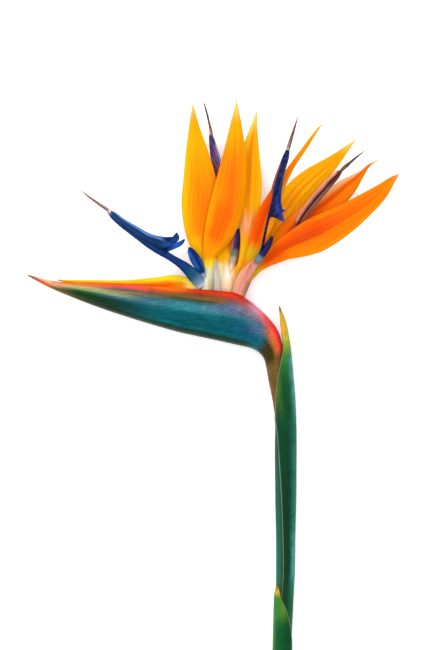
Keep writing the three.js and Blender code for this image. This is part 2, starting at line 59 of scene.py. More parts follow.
# Sepals and nectary petals, from the foot to the tip: x, y, z, half width, and the tilt, which is
# how far the right edge stands above the middle.
PETALS = {
    "flower1_sepal_left": [
        (-4.4, 76, 13.4, 2.6, 0), (-4.6, 83, 14, 2.9, 0), (-4.5, 89.5, 13.9, 3.2, 0.3),
        (-7.5, 101, 14, 6.8, 1), (-8.5, 112, 15.2, 9.6, 1.5), (-8.5, 127, 17, 11.4, 1.5),
        (-8, 141.5, 18.5, 10.8, 1), (-9.5, 158, 20, 8, 0), (-11.5, 177, 21.5, 3.6, 0),
        (-12.5, 193, 22, 0.2, 0)],
    "flower1_sepal_right": [
        (-2.8, 76, 17.2, 3.2, 0), (-2.6, 83, 18, 3.2, 0), (-2, 89.5, 18, 3.6, 0),
        (-1, 96, 18.6, 5.2, 0), (4.5, 109, 20.5, 9.6, -1), (9, 123.5, 23, 11, -1.5),
        (12, 138.5, 25.5, 10.2, -1), (14.5, 157, 28, 7.8, 0), (15.5, 179, 29.5, 3.6, 0),
        (16, 194.3, 30, 0.2, 0)],
    "flower1_sepal_low": [
        (-4.5, 71.5, 14, 2.6, 0), (-9, 72.8, 14, 4.6, 0), (-15, 73.8, 13.4, 5.8, 0),
        (-25, 74.6, 12.8, 6.8, 0), (-37, 74.8, 12.2, 5.2, 0), (-56.5, 75.2, 10.8, 2.9, 0),
        (-76, 76, 8.6, 2.2, 0), (-91, 77, 6.5, 1.4, 0), (-101.5, 78.4, 5, 0.3, 0)],
    "flower1_nectary": [
        (-4.6, 80, 20.4, 0.8, 0), (-7.6, 85.8, 21.2, 2.8, 0), (-10.8, 91.5, 21.6, 3.4, 0),
        (-13.6, 96.5, 21.6, 2.5, 0), (-14.9, 99.3, 21.2, 0.6, 0)],
    "flower2_sepal_near": [
        (13.2, 74, 13.4, 2, 0), (15.4, 82, 14.2, 2.2, 0), (19.5, 89.5, 14.8, 2.6, 0),
        (22, 101, 15.2, 3.6, 0.5), (23.5, 112, 16, 5.6, 1), (23.5, 123.5, 17, 7.4, 1),
        (24, 140, 17.5, 8.4, 0.5), (25, 160, 17, 6, 0), (27, 175.5, 16, 2.8, 0),
        (29.5, 189, 14, 0.2, 0)],
    "flower2_sepal_mid": [
        (9.2, 74, 12, 3, 0), (8.2, 82, 12.8, 3.4, 0), (7.6, 87, 13, 3.8, 0),
        (7.8, 93.5, 13, 5.3, 0), (9, 104, 12.4, 5.8, -0.5), (11, 120, 10.4, 6, -0.5),
        (13, 140, 8, 6, 0), (14.5, 156, 5, 4, 0), (15.5, 169, 1.6, 0.3, 0)],
    "flower2_sepal_far": [
        (12.6, 76, 9.4, 2, 0), (17, 89.5, 7.6, 2.4, 0), (20, 104, 5.6, 3.8, 0),
        (23.5, 120, 4.2, 5, 0), (25, 136.5, 3.2, 5.4, 0), (25.5, 153, 2.2, 4, 0),
        (26, 169, 0.6, 0.3, 0)],
    "flower2_nectary": [
        (10.4, 78, 14.6, 1.6, 0), (13.4, 90.5, 14.2, 2.3, 0), (15.3, 99, 13.4, 2.5, 0),
        (16.4, 106, 13, 2.2, 0), (17, 111.8, 13, 0.8, 0)],
    "flower3_sepal_upper": [
        (18, 75, 20.4, 2, 0), (20.8, 83, 21, 2.4, 0), (24, 91.5, 21, 3, 0),
        (28, 100, 21.8, 4.4, 0), (31, 108.5, 23, 5.8, 0.6), (34.5, 118.5, 24.8, 6.4, 0.8),
        (40.6, 132, 27.4, 4.5, 0.6), (50.2, 149, 30.8, 2.1, 0), (60.6, 164, 33.5, 1.5, 0),
        (68, 174.6, 35.2, 0.8, 0), (71.8, 178.8, 36, 0.2, 0)],
    "flower3_sepal_lower": [
        (20, 74.5, 20.6, 1.8, 0), (23.6, 79, 21.8, 2.2, 0), (27.5, 83.5, 22.6, 2.6, 0),
        (34, 89, 24, 3.6, 0.5), (45.5, 97, 26, 6.8, 1), (59.5, 103.5, 27.3, 10.4, 1),
        (70, 108.5, 28, 11.3, 0.8), (87.5, 118.5, 28.6, 9.3, 0), (106.5, 132.5, 28.4, 5.8, 0),
        (116.5, 142.5, 27.5, 2.4, 0), (121.6, 147, 27, 0.2, 0)],
    "flower3_sepal_far": [
        (21, 77, 18, 1.6, 0), (32.5, 86.5, 19, 2, 0), (42, 92, 21, 3.2, 0),
        (54, 98, 22.4, 4.8, 0), (68, 105, 23, 5.6, 0), (82, 112.5, 22.6, 4.6, 0),
        (93.5, 120, 21.6, 0.3, 0)],
    "flower3_nectary": [
        (22, 77.5, 22.4, 1.6, 0), (28, 88, 27.6, 2.1, 0), (32.5, 94.5, 30.4, 2.3, 0),
        (36.4, 100.5, 32.6, 2, 0), (39, 106, 34, 0.9, 0)],
    "flower4_sepal_upper": [
        (20, 76, 9.6, 1.8, 0), (29, 91, 9.6, 3.2, 0), (35, 101.5, 9.7, 5.2, 0),
        (42, 114, 10, 7.8, -0.6), (54.5, 132.5, 10, 9, -0.8), (65, 143.5, 9.8, 8, -0.4),
        (79, 155.5, 9, 4.4, 0), (94.5, 170.5, 7, 0.2, 0)],
    "flower4_sepal_lower": [
        (21, 75.5, 11, 1.8, 0), (32.5, 88.5, 11.4, 2.8, 0), (40.5, 98, 13.6, 4.6, 0),
        (49, 107.5, 15.4, 7, 0), (61, 117.5, 16.6, 8, 0), (75, 127.5, 17, 8, 0),
        (87.5, 138, 17, 6.2, 0), (97, 147, 17, 2.4, 0), (102, 152.5, 17, 1, 0),
        (108.5, 156.5, 16.5, 0.3, 0)],
    "flower4_sepal_far": [
        (20, 76, 7.4, 1.6, 0), (30.5, 92, 6.2, 2.8, 0), (42, 108, 5, 4.8, 0),
        (55, 124.5, 3.8, 5.8, 0), (67, 138.5, 2.2, 4.6, 0), (78, 149, 0.6, 0.3, 0)],
    "flower4_nectary": [
        (24, 79, 14.4, 1.3, 0), (30, 87, 17, 1.8, 0), (35, 92, 18.6, 1.8, 0),
        (39, 96.5, 20, 0.4, 0)],
}

# How much each blade is cupped, as a share of its half width.
CUPS = {
    "flower1_sepal_left": 0.22, "flower1_sepal_right": 0.26, "flower1_sepal_low": 0.12,
    "flower1_nectary": 0.35, "flower2_sepal_near": 0.22, "flower2_sepal_mid": 0.2,
    "flower2_sepal_far": 0.15, "flower2_nectary": 0.5, "flower3_sepal_upper": 0.22,
    "flower3_sepal_lower": 0.22, "flower3_sepal_far": 0.15, "flower3_nectary": 0.5,
    "flower4_sepal_upper": 0.2, "flower4_sepal_lower": 0.18, "flower4_sepal_far": 0.15,
    "flower4_nectary": 0.4,
}

# Lengthwise folds: place across the blade (-1 to 1) and how far the side beyond it drops. A fold
# with a negative drop bends down the side before that place.
FOLDS = {
    "flower1_sepal_right": (0.42, 1.4),
    "flower2_sepal_near": (0.1, 0.8),
    "flower3_sepal_upper": (0.3, 1.2),
    "flower3_sepal_lower": (0.62, 1.4),
    "flower4_sepal_lower": (-0.6, -1.2),
}

# Arrows, from the tip to the foot of the claw: keel, near rim, far rim, radius of the keel's rib.
ARROWS = {
    "flower1_arrow": [
        ((-67.8, 122.2, 22.4), (-67.1, 123, 22.7), (-66.7, 123.7, 22.1), 0.7),
        ((-64.3, 118.7, 22.3), (-62.7, 121.5, 23.4), (-62.5, 122, 21.4), 1.4),
        ((-59.2, 114.3, 22.2), (-57.5, 117.3, 24), (-57.3, 118, 21), 1.7),
        ((-52.9, 109.5, 22), (-49.1, 112.3, 24.6), (-48.9, 113.1, 20.6), 1.8),
        ((-46.5, 104.5, 21.8), (-40.5, 107.1, 25), (-40.3, 108.3, 20.2), 1.8),
        ((-41.7, 100.8, 21.7), (-33.5, 105, 25.4), (-33, 106.5, 20), 1.8),
        ((-38.1, 98.4, 21.6), (-28, 103.4, 25.6), (-27.6, 106.1, 19.8), 1.8),
        ((-36.2, 97.2, 21.5), (-23, 102.3, 25.4), (-23.8, 106.7, 19.6), 1.8),
        ((-34.9, 96.4, 21.5), (-17.7, 104.6, 24.8), (-23, 109.1, 19.6), 1.8),
        ((-34, 95.9, 21.5), (-18.6, 101.6, 25), (-21.2, 106.2, 19.7), 1.8),
        ((-33.1, 95.4, 21.4), (-22, 99, 25), (-22, 103.4, 19.8), 1.8),
        ((-32.1, 94.7, 21.4), (-26.2, 97.6, 24), (-25.4, 100.6, 20), 1.7),
        ((-30.8, 94, 21.3), (-28.5, 96.6, 22.6), (-28.5, 97, 20.2), 1.5),
        ((-26.6, 91.4, 21.1), (-24.9, 94.1, 22), (-24.8, 94.2, 20.2), 1.4),
        ((-22.1, 88.3, 20.7), (-20.4, 91.5, 21.6), (-20.3, 91.7, 19.8), 1.5),
        ((-17.8, 84.5, 20.2), (-15.6, 88.8, 21.2), (-15.4, 89, 19.2), 1.8),
        ((-13.9, 80.4, 19.4), (-10.1, 84.5, 20.6), (-9.9, 84.8, 18.2), 2.3),
        ((-10.4, 77, 18.2), (-5.5, 80.2, 19.6), (-5.2, 80.5, 17), 2.6),
        ((-7.4, 73.9, 17), (-3, 76.1, 18.2), (-2.7, 76.4, 15.8), 2.4)],
    "flower2_arrow": [
        ((-0.8, 174.2, 15), (-1.4, 174.3, 15.5), (0, 173.9, 15.5), 0.7),
        ((-0.5, 171, 14.6), (-2, 170.6, 15.8), (1.4, 170.2, 15.8), 0.9),
        ((0.5, 166.2, 14), (-1.7, 165.4, 16), (3.2, 164.9, 16), 1),
        ((1.4, 161.7, 13.6), (-1.3, 161.5, 16), (4.7, 160.6, 16), 1),
        ((2.3, 156.5, 13.2), (-0.9, 155.9, 16), (6.2, 155.6, 16), 1),
        ((3, 151.3, 12.8), (-1.2, 149.8, 15.6), (7.3, 150.4, 15.6), 1),
        ((3.5, 145.4, 12.4), (-1.4, 142.6, 15), (7.9, 143.9, 15), 1),
        ((4, 139.6, 12), (-2, 135.5, 14.6), (8.6, 136.8, 14.6), 1),
        ((4.4, 136.3, 11.9), (-2.2, 130.3, 14.2), (9.5, 131.6, 14.2), 1),
        ((4.7, 134.3, 11.8), (1, 132.6, 13.6), (7.6, 133.3, 13.6), 1),
        ((4.9, 131.1, 11.7), (4, 130.8, 12.4), (5.9, 130.9, 12.4), 1),
        ((6.8, 114.1, 8.2), (6, 114.1, 8.9), (7.7, 114.1, 8.9), 1),
        ((8.6, 89.9, 8.4), (7.7, 89.9, 9.2), (9.5, 89.9, 9.2), 1.1),
        ((10, 78.2, 10), (9.1, 78.1, 10.8), (10.9, 78.1, 10.8), 1.2)],
    "flower3_arrow": [
        ((49, 162.3, 44), (49.9, 162, 43.6), (48.1, 162.5, 43.6), 0.7),
        ((47.6, 157.2, 43.2), (49.6, 157.1, 42), (45.8, 158, 42.2), 0.9),
        ((45.9, 151.9, 42.4), (48.4, 152, 40.6), (43.7, 152.9, 41), 0.9),
        ((44.3, 146.6, 41.6), (46.8, 147, 39.6), (41.5, 147.1, 40), 0.9),
        ((42.8, 141.1, 41), (45.8, 141.6, 38.6), (39.5, 141.2, 39.4), 0.9),
        ((41.2, 136, 40.4), (44.9, 135.5, 38), (38.2, 136.2, 39.2), 0.9),
        ((39.6, 130.3, 39.8), (44.7, 129.5, 37.4), (38.6, 131.6, 39.2), 0.9),
        ((38.2, 125.2, 39.2), (45.2, 124.2, 37), (37.7, 125.8, 38.8), 0.9),
        ((37.9, 123.9, 39), (47.6, 122.6, 36.6), (37.4, 124.3, 38.6), 0.9),
        ((37.6, 122.7, 38.9), (45.9, 120.7, 36.6), (37.1, 123, 38.4), 0.9),
        ((37.3, 121.5, 38.7), (47, 115.3, 36), (36.8, 121.6, 38.2), 0.9),
        ((37, 120.6, 38.6), (43.4, 116.2, 36.2), (36.5, 120.7, 38), 0.9),
        ((36.8, 119.5, 38.4), (39.8, 117.9, 37), (36.3, 119.7, 37.8), 0.9),
        ((36.4, 117.9, 38.1), (37.3, 117.5, 37.6), (35.9, 118.2, 37.6), 0.85),
        ((34.9, 111.1, 36.8), (35.6, 111, 36.4), (34.3, 111.4, 36.4), 0.8),
        ((33.5, 104.1, 34.6), (34.2, 103.9, 34.2), (32.8, 104.4, 34.2), 0.8),
        ((32.3, 97.8, 31.8), (33.1, 97.5, 31.4), (31.5, 98.1, 31.4), 0.9),
        ((30.1, 92.1, 28.6), (31.4, 91.3, 28.2), (29, 92.7, 28.2), 1.2),
        ((25.9, 85.7, 24.4), (27.6, 84.7, 24.2), (24.3, 86.7, 24.2), 1.6)],
    "flower4_arrow": [
        ((83.5, 148.3, 24.4), (82.6, 149.2, 25.2), (84.2, 147.6, 25.2), 0.8),
        ((80.9, 145.2, 23.8), (79.4, 147.6, 25.6), (82.5, 144.6, 25.6), 0.9),
        ((77.1, 141, 23.2), (75, 144, 25.8), (79.5, 140.8, 25.8), 1),
        ((72.4, 135.8, 22.8), (69.8, 138.4, 25.8), (74.9, 135.2, 25.8), 1),
        ((67.4, 130.3, 22.4), (64.8, 132.6, 25.6), (70.3, 129.5, 25.6), 1),
        ((62.9, 125.1, 22), (60.5, 127, 25.2), (66.1, 124, 25.2), 1),
        ((59.9, 121, 21.6), (57.5, 122.4, 24.6), (63, 119.8, 24.4), 1),
        ((57.4, 117.2, 21.2), (55.2, 118.2, 23.6), (60.2, 116, 23.4), 1),
        ((55.4, 113.8, 20.8), (53.8, 114.4, 22.4), (57.2, 112.6, 22.2), 1),
        ((53.9, 111.4, 20.4), (53, 111.6, 21.2), (54.8, 110.8, 21.2), 0.9),
        ((46.8, 105.3, 18.8), (46.3, 105.8, 19.4), (47.3, 104.8, 19.4), 0.9),
        ((37.8, 96.3, 15.6), (37.3, 96.8, 16.2), (38.3, 95.8, 16.2), 0.9),
        ((26.1, 83.4, 12.8), (25.6, 83.9, 13.4), (26.6, 82.8, 13.4), 0.9)],
}

# The peduncle from its cut to the spathe, where it keeps its full radius: x, y, z.
PEDUNCLE_ROUTE = [
    (45.5, STEM_CUT_Y, 6.5), (46.4, -160, 7.5), (48.1, -110, 9.1), (48.2, -66, 10.4),
    (48.3, -26, 11.6), (48, -10, 12), (45.5, 4, 12.4), (43.4, 13, 12.7), (40.4, 26, 13),
    (35, 36, 13), (27, 43.6, 13),
]

# Round pieces, from the foot or the cut to the tip: x, y, z, radius.
TUBES = {
    "flower1_style": [
        (-65.9, 122.3, 22.4, 1.15), (-68.8, 124.3, 22.8, 1.15), (-73.9, 127.7, 23.1, 1),
        (-79.1, 131.4, 23.3, 0.75), (-84.9, 136, 23.4, 0.28)],
    "flower2_style": [
        (-0.5, 172.6, 15.2, 1.1), (-0.9, 175.9, 15.6, 1), (-1.7, 179.7, 16, 0.75),
        (-2.9, 184.9, 16.6, 0.7), (-4.2, 189.7, 17.1, 0.6), (-5.6, 194.3, 17.4, 0.24)],
    "flower3_style": [
        (48.6, 160.8, 44, 1.3), (49.3, 163.6, 44.3, 1.35), (50.6, 167.8, 44.6, 1.15),
        (52.3, 173.3, 45, 0.85), (54.9, 181.8, 45.6, 0.28)],
    "flower4_style": [
        (82.7, 147.3, 24.6, 1), (84.5, 149.7, 25.2, 1.1), (87.1, 152, 25.8, 1.25),
        (89.5, 154, 26.1, 0.95), (93.2, 157.2, 26.6, 0.7), (98.9, 161.6, 27, 0.26)],
    "flower1_base": [
        (-2.5, 56.2, 13.6, 2.8), (-3.4, 70, 14, 4.4), (-3.2, 79, 14.8, 4.6),
        (-3.3, 86, 15.4, 3.2), (-3.4, 93, 15.8, 0.5)],
    "flower2_base": [
        (9, 54.4, 11, 2.6), (10, 67, 10.4, 4.6), (10.6, 78, 10.8, 5.4), (12, 86, 11, 4.2),
        (13.4, 94, 11, 0.6)],
    "flower3_base": [
        (14.2, 53.2, 15.8, 2.4), (16.6, 67, 17.2, 4.4), (20.4, 78, 18.6, 5),
        (24.6, 85.6, 19.8, 3.8), (29, 92.6, 20.6, 0.5)],
    "flower4_base": [
        (16.2, 53.2, 10.4, 2.2), (18, 68, 9.4, 3), (22, 78.2, 9.6, 3.4), (26, 86, 10, 2.4),
        (29.5, 93, 10.4, 0.4)],
    "peduncle": [(*place, PEDUNCLE_RADIUS) for place in PEDUNCLE_ROUTE] + [
        (16, 48.5, 13, 3.8), (4, 51, 13, 3.6), (-6, 53, 13, 2.6)],
}

# Spathe sections from the tip, around the bend and down to its foot on the stem:
# slit side x, y, keel x, y, z of the middle, half width, half gap of the slit.
SPATHE = [
    (-122, 82.2, -121.6, 81.4, 3.2, 0.6, 0.35),
    (-110, 79.2, -110, 75, 3.6, 3, 1.2),
    (-98, 77, -99, 70, 5.2, 5.2, 2),
    (-73, 76, -76, 61, 8.4, 8.4, 2.2),
    (-47, 75, -50.5, 52.5, 10.6, 10.6, 2.6),
    (-22, 73, -25, 45, 12, 12, 3),
    (-8, 72, -12, 42, 12.6, 12.6, 5.4),
    (6, 71, 4, 38.6, 13, 12.95, 8.4),
    (18, 68.5, 15.5, 36, 13, 12.95, 9),
    (32, 58.5, 25.6, 33.6, 13, 11.8, 3),
    (42, 47, 31, 30.5, 13, 9.6, 1.2),
    (46, 36, 34.2, 26, 13, 8, 1),
    (47, 26, 35.6, 19.6, 13, 7, 1),
    (48.8, 14, 37, 11.6, 12.7, 6.4, 1),
    (50.6, 4, 38.8, 3, 12.4, 5.8, 1),
    (53.3, -10, 40.9, -10.4, 12, 5.8, 1),
    (54, -24, 41.2, -24, 11.7, 5.8, 1),
]

# The axis of the stem's sheaths: y, x, z.
STEM_AXIS = [
    (61, 37.2, 13), (50, 41.4, 13), (36, 43.9, 13), (26, 44.7, 13), (16, 45.4, 12.8),
    (4, 46.4, 12.4), (-12, 47.7, 12), (-26, 48.1, 11.6), (-66, 48.2, 10.4), (-110, 48.1, 9.1),
    (-136, 47.3, 8.3), (-160, 46.4, 7.5), (STEM_CUT_Y, 45.5, 6.5),
]

# Leaf sheaths: y, outer radius, angle of the middle, half of the angular width (degrees).
# The hand says to which side the margin lies that ends on top.
SHEATH_HANDS = {"upper_sheath": 1, "lower_sheath": -1}
SHEATHS = {
    "upper_sheath": [
        (61, 7.2, 0, 10), (57, 7.2, 0, 40), (50, 7.2, 0, 62), (43, 7.2, 0, 66), (36, 7.3, 0, 70),
        (26, 7.6, 0, 88), (16, 7.8, 0, 110), (4, 7.9, 0, 130), (-12, 7.3, 0, 156),
        (-24, 7.2, -24, 168), (-42, 7.1, -41, 172), (-66, 6.9, -54, 172), (-90, 6.4, -61, 172),
        (-112, 6.2, -65, 172), (-121, 6, -61, 172), (-135, 5.85, -60, 172), (-160, 5.6, -60, 172),
        (STEM_CUT_Y, 5.4, -60, 172)],
    "lower_sheath": [
        (-121, 7, 140, 3), (-129, 7, 150, 37), (-136.5, 7, 158, 77), (-142.5, 6.9, 165, 102),
        (-150, 6.8, 170, 128), (-159, 6.7, 175, 156), (-176, 6.6, 178, 172),
        (STEM_CUT_Y, 6.5, 178, 172)],
}

# ------------------------------------------------------------------ curves


def smooth_rows(rows, count):
    """Rows of numbers sampled at count + 1 even steps of a Catmull-Rom curve."""
    table = np.array(rows, dtype=float)
    table = np.vstack([2 * table[0] - table[1], table, 2 * table[-1] - table[-2]])
    place = np.linspace(0, len(rows) - 1, count + 1)
    start = np.minimum(place.astype(int), len(rows) - 2)
    t = (place - start)[:, None]
    a, b, c, d = (table[start + k] for k in range(4))
    slope_in, slope_out = (c - a) / 2, (d - b) / 2
    cubic = 2 * (b - c) + slope_in + slope_out
    square = 3 * (c - b) - 2 * slope_in - slope_out
    return ((cubic * t + square) * t + slope_in) * t + b


def unit(vectors):
    return vectors / np.linalg.norm(vectors, axis=-1, keepdims=True)


def tangents(points):
    return unit(np.gradient(points, axis=0))


def level_normals(heading):
    """Level directions square to each heading."""
    return unit(np.column_stack([heading[:, 1], -heading[:, 0], np.zeros(len(heading))]))


def ease(value, low, high):
    """0 at low, 1 at high, smooth between."""
    t = np.clip((value - low) / (high - low), 0, 1)
    return t * t * (3 - 2 * t)


# ------------------------------------------------------------------ meshes


def add_object(name, data):
    thing = bpy.data.objects.new(name, data)
    bpy.context.scene.collection.objects.link(thing)
    return thing


def ring_piece(name, rings, attributes, paired=False):
    """A closed piece from rings of points in millimetres, with a value per point for each attribute.

    The end rings are closed by one face, or, where a ring runs out along one wall and back
    along the other (paired), by a strip of faces between the two walls.
    """
    row_count, ring_size, _ = rings.shape
    index = np.arange(row_count * ring_size).reshape(row_count, ring_size)
    after = np.roll(index, -1, axis=1)
    quads = np.stack([index[:-1], after[:-1], after[1:], index[1:]], axis=-1)
    faces = quads.reshape(-1, 4).tolist()
    for ring, turned in ((index[0], True), (index[-1], False)):
        cap = [ring.tolist()]
        if paired:
            outer, inner = ring[:ring_size // 2], ring[:ring_size // 2 - 1:-1]
            cap = np.stack([outer[:-1], outer[1:], inner[1:], inner[:-1]], axis=-1).tolist()
        faces.extend([face[::-1] if turned else face for face in cap])
    mesh = bpy.data.meshes.new(name + "_skin")
    mesh.from_pydata((rings.reshape(-1, 3) * MM).tolist(), [], faces)
    for attribute, values in attributes.items():
        layer = mesh.attributes.new(attribute, "FLOAT", "POINT")
        layer.data.foreach_set("value", np.broadcast_to(values, (row_count, ring_size)).ravel())
    flip_if_inside_out(mesh)
    mesh.shade_smooth()
    return add_object(name + "_skin", mesh)


def flip_if_inside_out(mesh):
    mesh.calc_loop_triangles()
    points = np.array([vertex.co[:] for vertex in mesh.vertices])
    corners = points[np.array([triangle.vertices[:] for triangle in mesh.loop_triangles])]
    volume = np.einsum("ij,ij->", corners[:, 0], np.cross(corners[:, 1], corners[:, 2]))
    if volume < 0:
        mesh.flip_normals()


def front_and_back(front, back):
    """Rings that run over a blade's front from edge to edge and return under its back."""
    return np.concatenate([front, back[:, -2:0:-1]], axis=1)


def out_and_in(outer, inner):
    """Rings, or their values, that run out along one wall and back along the other."""
    return np.concatenate([outer, inner[:, ::-1]], axis=1)


BLADE_COLUMNS = 48
BLADE_ROWS = 132
LEAST_HALF_WIDTH = 0.15
PLEAT_HEIGHT = 0.2
# Pleats: share of the height, how fast they follow each other across the blade, and how far
# they wander on the way to the tip.
PLEATS = ((0.9, 5.5, 0), (0.6, 9.5, 0), (0.35, 17, 2))
EDGE_WAVE = 0.5
MIDRIB_DEPTH = 0.5
MIDRIB_HALF_WIDTH = 0.07
FULL_RELIEF_HALF_WIDTH = 7
TIP_TAPER = 9


def sepal_relief(name, along, across, half):
    """Height of a sepal's pleats, wavy edge and sunken midrib, and of the fold that some have."""
    draw = np.random.default_rng(sum(map(ord, name)))
    phase = draw.uniform(0, 2 * math.pi, 4)
    beat = draw.uniform(9, 14)
    pleats = sum(share * np.cos(pace * across + start + drift * along)
                 for (share, pace, drift), start in zip(PLEATS, phase))
    wave = np.sin(along * beat + phase[3]) * np.abs(across) ** 3
    midrib = np.exp(-(across / MIDRIB_HALF_WIDTH) ** 2)
    place, drop = FOLDS.get(name, (0.0, 0.0))
    fold = abs(drop) * np.maximum(0, np.sign(drop) * (across - place))
    height = PLEAT_HEIGHT * pleats + EDGE_WAVE * wave - MIDRIB_DEPTH * midrib - fold
    return np.sin(math.pi * along) ** 0.7 * np.minimum(half / FULL_RELIEF_HALF_WIDTH, 1) * height


def blade_piece(name, upright=False):
    """A sepal or nectary petal: a cupped blade that thins out to its edges and its tip.

    An upright one has its thickness and its relief along Z, whatever its heading and tilt.
    """
    nectary = "nectary" in name
    thickness = NECTARY_THICKNESS if nectary else SEPAL_THICKNESS
    rows = smooth_rows(PETALS[name], BLADE_ROWS)
    middle, half, tilt = rows[:, :3], np.maximum(rows[:, 3:4], LEAST_HALF_WIDTH), rows[:, 4]
    along = np.linspace(0, 1, BLADE_ROWS + 1)[:, None]
    across = np.sin(np.linspace(-1, 1, BLADE_COLUMNS + 1) * math.pi / 2)[None, :]
    heading = tangents(middle)
    side = level_normals(heading) * half
    side[:, 2] = tilt
    out = unit(np.cross(side, heading))
    if upright:
        out = np.tile([0.0, 0.0, 1.0], (len(heading), 1))
    rise = CUPS[name] * half * (1 - across ** 2)
    if not nectary:
        rise = rise + sepal_relief(name, along, across, half)
    taper = np.clip((1 - along) * TIP_TAPER, 0.06, 1) ** 0.5
    body = 0.5 * thickness * np.sqrt(np.clip(1 - across ** 2, 0, 1)) * taper
    points = middle[:, None] + side[:, None] * across[..., None]
    front = points + out[:, None] * (rise + body)[..., None]
    back = points + out[:, None] * (rise - body)[..., None]
    spread = np.broadcast_to(across, front.shape[:2])
    attributes = {"along": along, "across": front_and_back(spread, spread)}
    return ring_piece(name, front_and_back(front, back), attributes)


ARROW_ROWS_PER_SPAN = 9
RIB_STEPS = 5
WING_STEPS = 14
# Share of a wing's height that is solid below the floor of the channel.
CHANNEL_FLOOR = 0.3
WING_BULGE = 0.1


def arrow_half(keel, rim, outward, rib):
    """Outer wall of one wing from the keel's rib to the rim, then its inner wall back down."""
    reach = rim - keel
    length = np.linalg.norm(reach, axis=1)[:, None]
    up = reach / length
    angle = np.linspace(0, 1, RIB_STEPS, endpoint=False)[None, :] * math.pi / 2
    cap = keel[:, None] + rib[:, None, None] * (
        -up[:, None] * np.cos(angle)[..., None] + outward[:, None] * np.sin(angle)[..., None])
    share = np.linspace(0, 1, WING_STEPS + 1)[None, :]
    sheet = 0.5 * ARROW_THICKNESS * np.minimum(1, length / 2) * np.sqrt(1 - 0.96 * share ** 2)
    swell = np.maximum(rib[:, None] - sheet[:, :1], 0) * np.exp(-(share * length / rib[:, None]) ** 2)
    bulge = WING_BULGE * length * 4 * share * (1 - share)
    wall = keel[:, None] + reach[:, None] * share[..., None]
    outer = wall + outward[:, None] * (bulge + sheet + swell)[..., None]
    inner = wall + outward[:, None] * (bulge - sheet)[..., None]
    inner_kept = share[0] >= CHANNEL_FLOOR
    points = np.concatenate([cap, outer, inner[:, inner_kept][:, -2::-1]], axis=1)
    shares = np.concatenate([np.zeros(RIB_STEPS), share[0], share[0][inner_kept][-2::-1]])
    inside = np.concatenate([np.zeros(RIB_STEPS + WING_STEPS + 1), np.ones(inner_kept.sum() - 1)])
    return points, shares, inside


def arrow_piece(name):
    """Two wings that rise from one keel and leave a channel between them."""
    table = [(*keel, *near, *far, rib) for keel, near, far, rib in ARROWS[name]]
    rows = smooth_rows(table, (len(table) - 1) * ARROW_ROWS_PER_SPAN)
    keel, near, far, rib = rows[:, 0:3], rows[:, 3:6], rows[:, 6:9], rows[:, 9]
    heading = tangents(keel)
    near_wall, near_share, near_inside = arrow_half(keel, near, unit(np.cross(heading, near - keel)), rib)
    far_wall, far_share, far_inside = arrow_half(keel, far, -unit(np.cross(heading, far - keel)), rib)
    rings = np.concatenate([near_wall, far_wall[:, :0:-1]], axis=1)
    attributes = {
        "along": np.linspace(0, 1, len(rows))[:, None],
        "across": np.concatenate([near_share, -far_share[:0:-1]])[None, :],
        "inside": np.concatenate([near_inside, far_inside[:0:-1]])[None, :]}
    return ring_piece(name, rings, attributes)


TUBE_ROWS_PER_SPAN = 20
LEAST_RADIUS = 0.1
CUT_FACE_STEPS = (0.12, 0.4, 0.7, 0.94)
# How far three broad and seven narrow lobes lift a tube out of round, and where the broad ones lie.
BROAD_LOBES = 0.025
NARROW_LOBES = 0.012
BROAD_LOBE_TURN = 0.6


def tube_piece(name, sides=48):
    """A round stalk; rings that widen from its middle close its first end with a flat cut face."""
    rows = smooth_rows(TUBES[name], (len(TUBES[name]) - 1) * TUBE_ROWS_PER_SPAN)
    row_of_ring = np.concatenate([np.zeros(len(CUT_FACE_STEPS), dtype=int), np.arange(len(rows))])
    share = np.concatenate([CUT_FACE_STEPS, np.ones(len(rows))])
    along = np.linspace(0, 1, len(rows))[row_of_ring]
    heading = tangents(rows[:, :3])[row_of_ring]
    middle, radius = rows[row_of_ring, :3], np.maximum(rows[row_of_ring, 3], LEAST_RADIUS)
    side = level_normals(heading)
    up = np.cross(side, heading)
    angle = np.linspace(0, 2 * math.pi, sides, endpoint=False)[None, :]
    lobes = 1 + BROAD_LOBES * np.cos(3 * angle + BROAD_LOBE_TURN) + NARROW_LOBES * np.cos(7 * angle)
    reach = (radius * share)[:, None, None] * lobes[..., None]
    rings = middle[:, None] + reach * (
        side[:, None] * np.cos(angle)[..., None] + up[:, None] * np.sin(angle)[..., None])
    attributes = {"along": along[:, None], "across": np.cos(angle), "cut": (1 - share)[:, None]}
    return ring_piece(name, rings, attributes)


SPATHE_COLUMNS = 112
SPATHE_ROWS = 240
LIP_HEIGHT = 0.5
LIP_START = 0.9
LIP_CREST = 0.97
RIDGE_HEIGHT = 0.12
RIDGE_PACE = 34


def spathe_section(keel, rise, height, half, gap):
    """One wall of the boat: for each section, points from margin to keel to margin."""
    edge = math.pi - np.arcsin(np.clip(gap / half, 0, 0.98))
    turn = edge[:, None] * np.linspace(-1, 1, SPATHE_COLUMNS + 1)[None, :]
    edge_rise = ((1 - np.cos(edge)) / 2)[:, None]
    share = (1 - np.cos(turn)) / 2 / edge_rise
    points = keel[:, None] + rise[:, None] * (height[:, None] * share)[..., None]
    points[..., 2] += half[:, None] * np.sin(turn)
    return points, share


